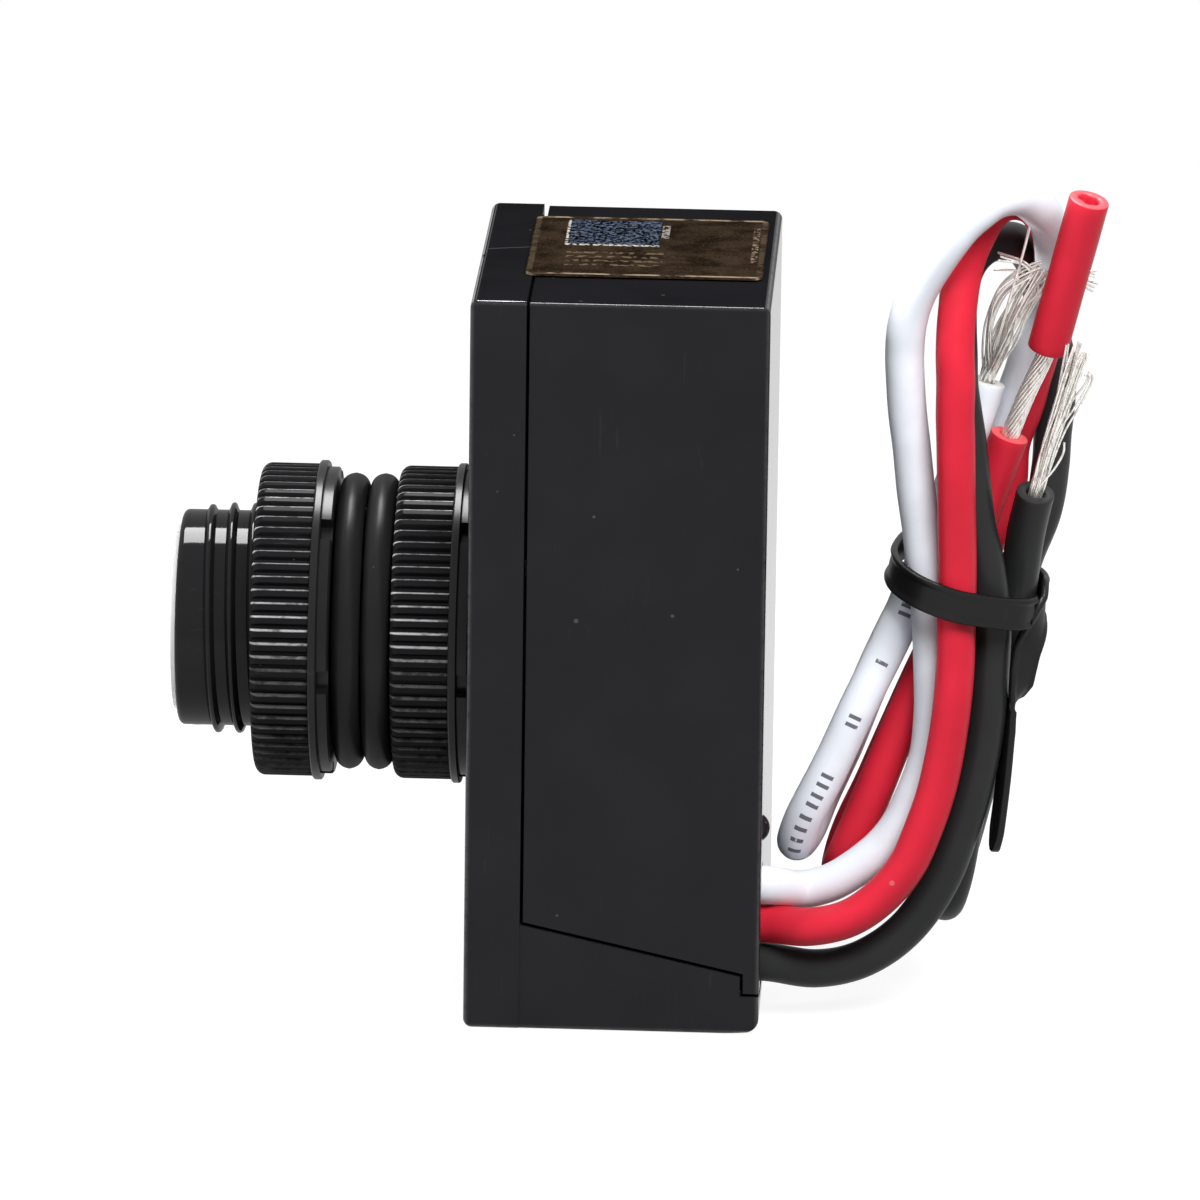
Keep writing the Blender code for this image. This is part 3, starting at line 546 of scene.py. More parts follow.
def dust_effect():
    """Sparse specks of lint: small cells, of which few are kept."""
    def build(tree, given):
        cells = add(tree, "TexVoronoi", {
            "Vector": given["Vector"], "Scale": given["Scale"]},
            feature="F1", distance="EUCLIDEAN")
        pick = add(tree, "SeparateColor", {0: cells.outputs["Color"]})
        kept = maths(tree, "LESS_THAN", pick.outputs[0], given["Share"])
        spot = maths(tree, "LESS_THAN", cells.outputs["Distance"],
                     times(tree, pick.outputs[1], 0.16))
        return {"Mask": times(tree, kept, spot)}
    return effect("lint_specks",
                  [("Vector", "Vector", None), ("Scale", "Float", 900.0),
                   ("Share", "Float", 0.06)],
                  [("Mask", "Float")], build)


def wear_effect():
    """Rubbed edges of a block: near two of its faces at once."""
    def build(tree, given):
        low = vector_maths(tree, "ABSOLUTE", vector_maths(
            tree, "SUBTRACT", given["Vector"], given["Low"]))
        high = vector_maths(tree, "ABSOLUTE", vector_maths(
            tree, "SUBTRACT", given["High"], given["Vector"]))
        near = add(tree, "SeparateXYZ", {0: vector_maths(
            tree, "MINIMUM", low, high)}).outputs
        first = maths(tree, "MINIMUM", near[0], near[1])
        other = maths(tree, "MAXIMUM", near[0], near[1])
        second = maths(tree, "MAXIMUM", first,
                       maths(tree, "MINIMUM", other, near[2]))
        edge = fade(tree, second, given["Width"], 0.0)
        rough = noise(tree, given["Vector"], 1400.0, 4.0, 0.7)
        return {"Mask": times(tree, edge, fade(tree, rough, 0.46, 0.62)),
                "Edge": edge}
    return effect("edge_wear",
                  [("Vector", "Vector", None),
                   ("Low", "Vector", (0.0, 0.0, 0.0)),
                   ("High", "Vector", (1.0, 1.0, 1.0)),
                   ("Width", "Float", 0.0003)],
                  [("Mask", "Float"), ("Edge", "Float")], build)


def face_effect():
    """1 on one flat face of a block, across a given axis."""
    def build(tree, given):
        gap = vector_maths(tree, "ABSOLUTE", vector_maths(
            tree, "SUBTRACT", given["Vector"], given["Place"]))
        away = add(tree, "VectorMath", {0: gap, 1: given["Axis"]},
                   operation="DOT_PRODUCT").outputs[1]
        return {"Mask": maths(tree, "LESS_THAN", away, FACE_REACH)}
    return effect("flat_face",
                  [("Vector", "Vector", None),
                   ("Place", "Vector", (0.0, 0.0, 0.0)),
                   ("Axis", "Vector", (0.0, 0.0, 1.0))],
                  [("Mask", "Float")], build)


def start_material(name):
    """A new material: its tree, its shader and its object coordinates."""
    material = bpy.data.materials.new(name)
    material.use_nodes = True
    tree = material.node_tree
    shader = tree.nodes["Principled BSDF"]
    return material, tree, shader, add(tree, "TexCoord").outputs


def set_plain(shader, **values):
    """Numbers that are the same all over, on the shader's own sockets."""
    names = {"roughness": "Roughness", "metallic": "Metallic",
             "specular": "Specular IOR Level", "ior": "IOR",
             "coat": "Coat Weight", "coat_roughness": "Coat Roughness",
             "transmission": "Transmission Weight"}
    for key, value in values.items():
        shader.inputs[names[key]].default_value = value


def faint_line(tree, place, upper, line):
    """Mask of a thin line across a block's upper face."""
    start, slope, last = line
    run = minus(tree, axis(tree, place, 0), SNOUT_X)
    away = apart(tree, axis(tree, place, 1), maths(
        tree, "ADD", times(tree, run, slope), start))
    return times(tree, upper, fade(tree, away, 0.00014, 0.00006),
                 maths(tree, "LESS_THAN", run, last))


def rib_highlight_masks(tree, coords, ribs):
    """Masks of the ribbed part and of a painted highlight along its ribs'
    upper edges, patchy, from the piece's own UV."""
    count, columns = ribs
    column = times(tree, maths(tree, "FRACT", times(
        tree, axis(tree, coords["UV"], 0), count)), columns)
    # the collar and the foot are smooth, and the painted highlight fades
    # below the axis, where the lower edges lie in shade
    ribbed = maths(tree, "LESS_THAN", axis(tree, coords["UV"], 1),
                   RIBBED_SHARE)
    lit = fade(tree, axis(tree, coords["Object"], 2), AXIS_Z - 0.001,
               AXIS_Z + 0.0025, 0.12, 1.0)
    patchy = fade(tree, noise(tree, coords["Object"], 900.0, 3.0, 0.7),
                  0.36, 0.58, 0.25, 1.0)
    return ribbed, times(tree, fade(tree, column, 2.2, 3.4),
                         fade(tree, column, 6.8, 5.6), ribbed, lit, patchy)


def moulded(name, colour, rough=(0.42, 0.55), scale=6000.0, depth=0.000006,
            specular=0.0, light=(0.05, 0.05, 0.055), scratch=0.3, dust=0.3,
            block=None, stretch=(1.0, 1.0, 0.06), coat=0.0, glaze=0.1,
            ribs=None, line=None):
    """Moulded plastic or rubber: grain, rubbed lines, lint, worn edges.

    coat is how much of a thin glossy skin it has, of roughness glaze.  On a
    block the upper face has none and the rounded edges have more.  ribs is
    (count, columns to a rib): their upper edges carry a painted highlight,
    paler
    on the lit upper side.  line is (y where it starts, slope, last x): a faint
    line on the upper face."""
    material, tree, shader, coords = start_material(name)
    place = coords["Object"]
    grain = use(tree, grain_effect(), {"Vector": place, "Scale": scale})
    lines = use(tree, scratch_effect(), {"Vector": place,
                                         "Stretch": stretch})["Mask"]
    specks = use(tree, dust_effect(), {"Vector": place})["Mask"]
    tone = blend(tree, grain["Patches"], shade(colour, 0.88),
                 shade(colour, 1.12))
    tone = blend(tree, times(tree, lines, scratch), tone, rgba(light))
    tone = blend(tree, times(tree, specks, dust), tone, rgba(LINT))
    if ribs:
        ribbed, edge = rib_highlight_masks(tree, coords, ribs)
        # painted highlight: the ribs' lit upper edges take a pale grey
        tone = blend(tree, edge, tone, rgba(RIB_HIGHLIGHT))
        tree.links.new(maths(tree, "MAXIMUM", edge, fade(
            tree, ribbed, 0.0, 1.0, coat, coat * 0.22)),
            shader.inputs["Coat Weight"])
    if block:
        worn, edge = [use(tree, wear_effect(), {
            "Vector": place, "Low": block[0], "High": block[1],
            "Width": width})[mask] for mask, width in BLOCK_WEAR]
        tone = blend(tree, times(tree, worn, 0.35), tone, rgba(light))
        patchy = fade(tree, noise(tree, place, 1100.0, 4.0, 0.7), 0.32,
                      0.52, 0.45, 1.0)
        edge = times(tree, edge, patchy)
        # the cap's top and the cover's, which lies a little lower
        upper = maths(tree, "MAXIMUM", *(use(tree, face_effect(), {
            "Vector": place, "Place": (0.0, 0.0, high),
            "Axis": (0.0, 0.0, 1.0)})["Mask"]
            for high in (block[1][2], COVER_HIGH.z)))
        if line:
            tone = blend(tree, faint_line(tree, place, upper, line), tone,
                         rgba(light))
        rear = use(tree, face_effect(), {
            "Vector": place, "Place": block[1],
            "Axis": (1.0, 0.0, 0.0)})["Mask"]
        skin_ = maths(tree, "MAXIMUM", rear, times(
            tree, minus(tree, 1.0, upper), maths(
                tree, "ADD", coat, times(tree, edge, BLOCK_EDGE_COAT))),
            clamp=True)
        tree.links.new(skin_, shader.inputs["Coat Weight"])
    finish(tree, shader, tone, fade(tree, grain["Patches"], 0.0, 1.0,
                                    *rough), grain["Height"], depth)
    set_plain(shader, specular=specular, coat_roughness=glaze)
    if not block and not ribs:
        set_plain(shader, coat=coat)
    return material


def insulation(name, colour, length, cut, marks=None):
    """Extruded insulation, with a paler cut end.

    The piece's UV map holds how far round (0 to 1) and how far along, in
    millimetres; past the lead's length it is the face of the cut."""
    material, tree, shader, coords = start_material(name)
    lay = add(tree, "SeparateXYZ", {0: coords["UV"]}).outputs
    place = coords["Object"]
    slow = noise(tree, place, 260.0, 3.0)
    tone = blend(tree, fade(tree, slow, 0.3, 0.7),
                 shade(colour, 0.93),
                 shade(colour, 1.05))
    if marks:
        # plain printed bars along one side, in place of lettering
        places, centre, ink = marks
        printed = 0.0
        for first, last in places:
            printed = maths(tree, "MAXIMUM", printed,
                            span_mask(tree, lay[1], first, last))
        near = maths(tree, "LESS_THAN", apart(tree, lay[0], centre),
                     MARK_REACH)
        patchy = fade(tree, noise(tree, place, 2600.0, 2.0), 0.22, 0.40)
        tone = blend(tree, times(tree, patchy, near, printed), tone,
                     rgba(ink))
    specks = use(tree, dust_effect(), {"Vector": place, "Scale": 700.0,
                                       "Share": 0.05})["Mask"]
    tone = blend(tree, times(tree, specks, 0.22), tone, rgba(LEAD_LINT))
    face = maths(tree, "GREATER_THAN", lay[1], length - 0.05)
    tone = blend(tree, face, tone, rgba(cut))
    grain = use(tree, grain_effect(), {"Vector": place, "Scale": 3500.0})
    finish(tree, shader, tone, fade(tree, grain["Patches"], 0.0, 1.0, 0.36,
                                    0.50), grain["Height"], 0.000004)
    set_plain(shader, specular=0.16)
    return material


def tinned(name, colour):
    """Tinned copper: bright, with duller drawn-out streaks."""
    material, tree, shader, coords = start_material(name)
    drawn = vector_maths(tree, "MULTIPLY", coords["Object"],
                         (1.0, 1.0, 0.25))
    streak = fade(tree, noise(tree, drawn, 5200.0, 3.0, 0.6), 0.48, 0.72)
    tone = blend(tree, streak, rgba(colour),
                 shade(colour, 0.50))
    finish(tree, shader, tone, fade(tree, streak, 0.0, 1.0, 0.22, 0.36))
    set_plain(shader, metallic=0.65)
    return material


def clear_lens(name):
    """Clear polycarbonate with a breath of haze, only partly clear: its white
    base is a painted brightness that stands in for the white surroundings
    seen through it.
    """
    material, tree, shader, coords = start_material(name)
    haze = noise(tree, coords["Object"], 300.0, 3.0)
    tone = blend(tree, fade(tree, haze, 0.3, 0.7),
                 rgba((0.97, 0.98, 0.98)), rgba((0.98, 0.99, 0.99)))
    finish(tree, shader, tone, fade(tree, haze, 0.3, 0.7, 0.03, 0.09))
    # painted brightness: under half transmission, so the white base stands in
    # for the white seen through the lens
    set_plain(shader, transmission=0.45, ior=1.49)
    return material


# --------------------------------------------------------------- leads
# the leads' routes, in millimetres, from the exit slot to the cut end
WHITE_ROUTE = [
    (23.6, -9.4, 9.2), (25.7, -9.2, 9.7), (27.6, -9.1, 10.9),
    (29.2, -9.0, 12.3), (30.4, -8.9, 13.9), (31.3, -8.8, 15.8),
    (32.3, -8.6, 18.8), (32.6, -8.5, 22.2), (32.5, -8.4, 25.0),
    (32.4, -8.3, 27.4), (32.2, -8.2, 30.1), (31.8, -8.1, 33.0),
    (31.5, -8.0, 35.3), (31.1, -8.1, 37.9), (30.7, -8.2, 41.3),
    (30.4, -8.3, 43.5), (30.2, -8.4, 45.8), (30.1, -8.5, 47.8),
    (30.2, -8.7, 49.8), (30.6, -8.9, 51.6), (31.3, -9.2, 53.3),
    (32.2, -9.5, 54.9), (33.1, -9.7, 56.3), (34.0, -9.7, 57.5),
    (35.0, -9.5, 58.4), (36.1, -8.9, 59.1), (37.7, -7.6, 59.1),
    (39.0, -6.0, 58.0), (39.8, -4.5, 56.5), (40.2, -3.2, 54.7),
    (40.3, -2.4, 52.9), (40.1, -1.6, 50.8), (39.6, -1.0, 48.3),
    (38.8, -0.5, 46.3), (38.2, -0.4, 44.3), (37.5, -0.4, 42.3),
    (36.6, -0.5, 39.8), (33.7, 0.3, 34.2), (31.5, 0.4, 29.3),
    (29.7, 0.2, 25.7), (27.9, 0.0, 21.4), (26.2, -0.6, 17.0),
    (24.7, -1.9, 13.8), (23.9, -3.8, 12.1), (23.3, -5.9, 11.7),
    (23.2, -7.6, 12.4), (23.7, -8.6, 14.2), (25.4, -8.7, 17.8),
    (27.6, -7.7, 22.7), (28.8, -7.0, 25.2), (29.9, -6.3, 27.5),
    (31.1, -5.3, 30.4), (32.1, -4.5, 32.9), (33.3, -3.8, 36.2),
    (34.5, -3.6, 40.4), (35.2, -3.5, 42.6), (35.8, -3.4, 44.8)]
RED_ROUTE = [
    (24.4, -12.4, 7.4), (27.0, -12.2, 8.0), (29.2, -11.9, 9.5),
    (31.0, -11.8, 11.8), (32.1, -11.6, 14.4), (33.0, -11.4, 17.3),
    (33.7, -11.2, 21.2), (34.1, -11.0, 25.8), (34.1, -10.6, 29.6),
    (34.1, -10.4, 33.0), (34.0, -10.5, 36.0), (33.9, -10.7, 38.8),
    (33.8, -10.6, 42.0), (33.7, -10.4, 44.1), (33.7, -10.0, 46.2),
    (33.6, -9.4, 48.1), (33.6, -8.6, 49.7), (33.7, -7.7, 51.1),
    (33.9, -6.7, 52.7), (34.3, -6.1, 54.4), (34.9, -5.6, 55.8),
    (35.5, -5.0, 56.9), (36.4, -4.0, 57.6), (37.6, -2.7, 57.6),
    (38.9, -1.3, 56.8), (39.7, -0.4, 55.4), (40.1, 0.4, 53.9),
    (40.2, 1.1, 52.0), (40.1, 1.7, 50.0), (39.9, 2.2, 47.5),
    (39.4, 2.5, 45.2), (38.9, 2.5, 43.3), (38.5, 2.5, 41.6),
    (37.6, 2.1, 38.8), (37.4, 1.4, 35.8), (35.9, -0.9, 32.2),
    (34.5, -2.0, 28.9), (32.5, -2.1, 24.9), (30.3, -1.9, 19.6),
    (28.5, -1.8, 15.1), (27.2, -1.9, 12.2), (26.6, -2.3, 10.6),
    (26.3, -3.4, 9.6), (26.3, -4.8, 9.6), (26.6, -5.9, 10.6),
    (27.2, -6.3, 12.2), (28.6, -6.3, 15.8), (30.4, -6.0, 20.6),
    (32.4, -5.5, 25.3), (33.9, -5.3, 29.7), (34.9, -5.4, 33.2),
    (35.9, -5.1, 36.5), (37.5, -5.5, 41.5)]
BLACK_ROUTE = [
    (24.7, -10.3, 3.7), (27.3, -10.0, 4.1), (29.4, -9.9, 5.2),
    (31.2, -9.8, 6.8), (32.7, -9.6, 8.9), (33.8, -9.4, 11.1),
    (34.6, -9.2, 13.5), (35.4, -9.0, 16.2), (36.0, -8.8, 19.1),
    (36.4, -8.7, 22.5), (36.5, -8.6, 25.2), (36.6, -8.5, 28.1),
    (36.3, -8.5, 31.1), (35.9, -8.4, 33.6), (35.4, -8.2, 35.4),
    (35.0, -8.0, 38.1), (34.6, -7.6, 41.2), (34.2, -7.1, 43.5),
    (33.9, -6.7, 45.4), (33.8, -6.0, 47.4), (33.7, -5.2, 49.2),
    (33.7, -4.2, 50.9), (34.0, -3.0, 52.4), (34.6, -2.1, 53.4),
    (35.5, -1.2, 54.0), (36.6, 0.1, 54.0), (37.5, 1.6, 53.6),
    (38.3, 3.0, 52.7), (39.0, 4.1, 51.3), (39.4, 4.8, 49.5),
    (39.8, 5.2, 47.7), (40.3, 5.1, 45.7), (40.7, 4.9, 43.9),
    (40.7, 4.3, 41.6), (40.5, 3.4, 39.4), (40.4, 1.9, 37.4),
    (39.9, -0.5, 34.6), (38.6, -2.1, 31.4), (37.8, -2.7, 27.0),
    (37.2, -2.7, 22.5), (36.4, -2.6, 18.0), (35.5, -2.3, 14.0),
    (34.8, -2.0, 11.0), (34.2, -2.2, 9.0), (33.8, -3.1, 7.4),
    (33.7, -4.6, 7.1), (34.0, -5.8, 8.2), (34.4, -6.2, 10.0),
    (35.0, -6.1, 13.8), (36.0, -5.9, 18.0), (37.0, -5.7, 22.5),
    (37.8, -5.6, 27.0), (38.3, -5.8, 30.5), (38.8, -6.6, 34.8),
    (39.4, -7.7, 38.0)]
EXIT_Y = -0.0110
EXIT_LOW_Z = 0.0043
EXIT_PITCH = 0.00282
LEAD_INSIDE = 0.0029


def lead_line(route, exit_z):
    """Centre line of a lead, from inside the rear wall to its cut end."""
    start = [(REAR_X - LEAD_INSIDE, EXIT_Y, exit_z),
             (REAR_X + 0.0004, EXIT_Y, exit_z)]
    return smooth_line(np.vstack([start, np.array(route) * MM]))


def swept(line, stations, radii, sides):
    """Rings square to a line: at each station (a distance along it) a
    circle of the given radius, its centre read off the line."""
    run = arc(line)
    _, side, up = frames(line)
    mid = at(line, run, stations)
    side, up = unit(at(side, run, stations)), unit(at(up, run, stations))
    angle = np.linspace(0, TURN, sides, endpoint=False)[:, None]
    return mid[:, None] + np.asarray(radii)[:, None, None] * (
        np.cos(angle) * side[:, None] + np.sin(angle) * up[:, None])


def lead_piece(name, line, material, sides=32):
    """Insulation as a swept circle whose cut end turns in to the core.

    Its radius swells by a hair here and there, as extruded vinyl does."""
    given = settings("leads")
    run = arc(line)
    total = run[-1]
    body = np.append(np.arange(0, total - 0.0002, 0.0004), total - 0.00012)
    swell = 1 + 0.006 * np.sin(body * 410) + 0.004 * np.sin(body * 1130 + 1)
    r, core = given.radius, given.core_radius
    end = [(total - 0.00003, r - 0.00002), (total, r - 0.00008),
           (total + 0.00002, (r + core) / 2), (total, core + 0.00010),
           (total - 0.00010, core + 0.00003), (total - 0.0016, core)]
    stations = np.concatenate([body, [s for s, _ in end]])
    radii = np.concatenate([body * 0 + r * swell, [q for _, q in end]])
    grid = swept(line, stations, radii, sides)
    along = np.concatenate([body, total + 0.0001 * np.arange(len(end))]) / MM
    round_ = np.linspace(0, 1, sides + 1)
    uv = np.stack(np.broadcast_arrays(round_[None, :], along[:, None]), -1)
    return clad(skin(name, grid, uv=uv, sharp=60), material)


def bent(knots, points=40):
    """Smooth lines through rows of knots: each span blends four knots."""
    knots = np.asarray(knots, float)
    ring = np.concatenate([2 * knots[:, :1] - knots[:, 1:2], knots,
                           2 * knots[:, -1:] - knots[:, -2:-1]], 1)
    t = np.linspace(0, knots.shape[1] - 1, points)
    span = np.minimum(t.astype(int), knots.shape[1] - 2)
    t = (t - span)[None, :, None]
    a, b, c, d = (ring[:, span + k] for k in range(4))
    return 0.5 * (2 * b + (c - a) * t + (2 * a - 5 * b + 4 * c - d) * t ** 2
                  + (3 * b - a - 3 * c + d) * t ** 3)


def spray(rng, count, knots, spread, points=40, jitter=0.12):
    """Lines of a loose bundle: each keeps its own place in the bundle's
    round section, which widens by spread along the knots."""
    knots = np.array(knots, float) * MM
    spread = np.array(spread, float) * MM
    radius = np.sqrt(rng.uniform(0.03, 1, count))[:, None]
    angle = rng.uniform(0, TURN, count)[:, None]
    turn = angle + np.linspace(0, 1.2, len(knots))[None] * \
        rng.uniform(-1.0, 1.6, count)[:, None]
    _, side, up = frames(knots)
    offset = (radius * np.cos(turn))[..., None] * side[None] + \
        (radius * np.sin(turn))[..., None] * up[None]
    offset += rng.normal(0, jitter, offset.shape)
    return bent(knots[None] + offset * spread[None, :, None], points)


def wires_piece(name, bundles, radius, material, sides=7):
    """Fine round wires in one piece, one closed tube to a line."""
    made = [skin(name + "_part", tube(lines, radius, sides, across), sharp=60)
            for lines, across in bundles]
    piece = join(name, made) if len(made) > 1 else made[0]
    piece.name = piece.data.name = name
    return clad(piece, material)


def white_wires(rng):
    """The white lead's wires, splayed into a loose basket."""
    root = [(35.6, -3.42, 44.0), (35.95, -3.46, 45.3)]
    main = spray(rng, 17, root + [(37.15, -4.5, 48.0), (38.25, -5.2, 50.7),
                                  (39.6, -5.5, 53.3)],
                 (0.52, 0.60, 0.95, 0.95, 0.75))
    basket = spray(rng, 8, root + [(35.85, -4.2, 47.4), (35.95, -4.7, 49.4),
                                   (36.7, -5.1, 51.5), (38.0, -5.4, 52.8),
                                   (39.5, -5.5, 53.6)],
                   (0.45, 0.55, 0.42, 0.40, 0.50, 0.55, 0.6))
    crossing = spray(rng, 4, root + [(36.6, -4.6, 48.2), (37.6, -5.3, 50.6),
                                     (38.9, -5.6, 52.0), (38.3, -5.6, 53.5),
                                     (36.4, -5.2, 53.9)],
                     (0.45, 0.5, 0.8, 0.8, 0.5, 0.5, 0.9))
    upright = spray(rng, 2, root + [(36.6, -4.6, 48.0), (37.4, -5.3, 51.2),
                                    (38.1, -5.8, 54.3), (38.7, -6.0, 56.9)],
                    (0.4, 0.45, 0.5, 0.3, 0.12, 0.10))
    reaching = spray(rng, 6, root + [(37.3, -4.4, 48.2), (38.6, -4.9, 51.0),
                                     (40.3, -4.9, 52.6), (41.8, -4.5, 52.6),
                                     (43.2, -4.3, 52.3)],
                     (0.45, 0.5, 0.6, 0.6, 0.6, 0.7, 0.95))
    return [main, basket, crossing, upright, reaching]


def black_wires(rng):
    """The black lead's wires, fanned out and cut to uneven lengths."""
    root = [(39.25, -7.45, 37.0), (39.66, -7.93, 38.8)]
    fan = spray(rng, 22, root + [(40.25, -8.3, 41.3), (41.0, -8.7, 44.0),
                                 (41.75, -9.1, 46.6), (42.5, -9.4, 49.0)],
                (0.52, 0.60, 0.72, 0.92, 1.02, 1.12), jitter=0.07)
    run = np.linspace(0, 1, fan.shape[1])
    cut = rng.uniform(0.84, 1.0, len(fan))[:, None] * run[None]
    low = np.minimum((cut * (fan.shape[1] - 1)).astype(int),
                     fan.shape[1] - 2)
    part = (cut * (fan.shape[1] - 1) - low)[..., None]
    rows = np.arange(len(fan))[:, None]
    fan = fan[rows, low] * (1 - part) + fan[rows, low + 1] * part
    stray = spray(rng, 2, root + [(40.3, -8.1, 42.0), (40.95, -8.0, 45.2),
                                  (41.35, -8.0, 48.7)],
                  (0.4, 0.45, 0.35, 0.3, 0.2))
    hooks = spray(rng, 3, root + [(40.9, -8.6, 42.4), (42.0, -9.0, 44.5),
                                  (42.8, -9.2, 46.0), (43.0, -9.2, 46.7),
                                  (42.8, -9.2, 47.0)],
                  (0.4, 0.5, 0.5, 0.4, 0.25, 0.2, 0.25))
    low_hook = spray(rng, 1, [(39.25, -7.45, 37.0), (39.9, -8.3, 38.7),
                              (40.7, -8.6, 40.0), (41.25, -8.7, 41.1),
                              (41.3, -8.7, 41.9)],
                     (0.4, 0.4, 0.1, 0.1, 0.1))
    return [fan, stray, hooks, low_hook]


LAID_STRAND = 0.000112    # a strand of the red bundle, seen still laid up


def red_wires():
    """The red lead's wires, still laid up: a ring of helices round a core.

    Each turns once in fourteen millimetres round the bundle's middle."""
    given = settings("leads")
    line = smooth_line(np.array([
        (37.25, -5.4, 40.6), (37.65, -5.6, 41.9), (38.6, -6.1, 44.6),
        (39.8, -6.8, 47.6), (40.25, -7.15, 49.4)]) * MM, 0.00018)
    _, side, up = frames(line)
    count = 15
    phase = np.linspace(0, TURN, count, endpoint=False)[:, None]
    turn = phase - TURN * arc(line)[None] / 0.014
    reach = given.core_radius - LAID_STRAND
    helix = line[None] + reach * (
        np.cos(turn)[..., None] * side[None]
        + np.sin(turn)[..., None] * up[None])
    return helix, line


SLUG_LOW = np.array((39.98, -6.9, 48.1)) * MM
SLUG_WAY = unit(np.array((2.8, -2.5, 12.0)))
SLUG_L = 0.0118
SLUG_R = 0.00142
CUT_MARK = 200.0          # how far along its map puts its cut face


def slug_piece(material, sides=48):
    """Pushed-up sleeve of insulation: a hollow section turned round its own
    axis, its hole uneven by a few sines of the angle round."""
    given = settings("leads")
    r, core, length = SLUG_R, given.core_radius, SLUG_L
    edge = 0.00009
    section = [(0.0007, core), (0.00006, core + 0.00004), (0, core + 0.0002),
               (0, r - edge), (edge * 0.3, r - edge * 0.3), (edge, r)]
    section += [(s, r) for s in np.linspace(0.0008, length - 0.0008, 26)]
    section += [(length - edge, r), (length - edge * 0.3, r - edge * 0.3),
                (length, r - edge), (length + 0.00003, core + 0.00035),
                (length - 0.00002, core + 0.0001),
                (length - 0.0002, core - 0.00006),
                (length - 0.0030, core - 0.00008), (length / 2, core)]
    along, radius = np.array(section).T
    angle = np.linspace(0, TURN, sides, endpoint=False)
    uneven = 0.11 * np.sin(2 * angle + 0.6) + 0.07 * np.sin(3 * angle) + \
        0.05 * np.sin(5 * angle + 2)
    inner = (radius < core + 0.0003)[:, None] & \
        (along > length / 2 + 0.001)[:, None]
    radius = radius[:, None] * (1 + inner * uneven[None]
                                + 0.004 * np.sin(along * 900)[:, None])
    side = unit(np.cross(SLUG_WAY, (0, 1, 0)))
    up = np.cross(side, SLUG_WAY)
    grid = SLUG_LOW + along[:, None, None] * SLUG_WAY + radius[..., None] * (
        np.cos(angle)[:, None] * side + np.sin(angle)[:, None] * up)
    mark = np.where(along > length - edge * 0.5, CUT_MARK, along / MM)
    uv = np.stack(np.broadcast_arrays(
        np.linspace(0, 1, sides + 1)[None], mark[:, None]), -1)
    return clad(skin("pushed_sleeve", grid, closed=True, uv=uv, sharp=60),
                material)


# ------------------------------------------------------------------ tie
TIE_TILT = math.radians(13)


def tie_point(x, y):
    """A point of the tie's loop, from its own tilted plane."""
    return (34.7 + x * math.cos(TIE_TILT), -5.8 + y,
            30.8 - x * math.sin(TIE_TILT))


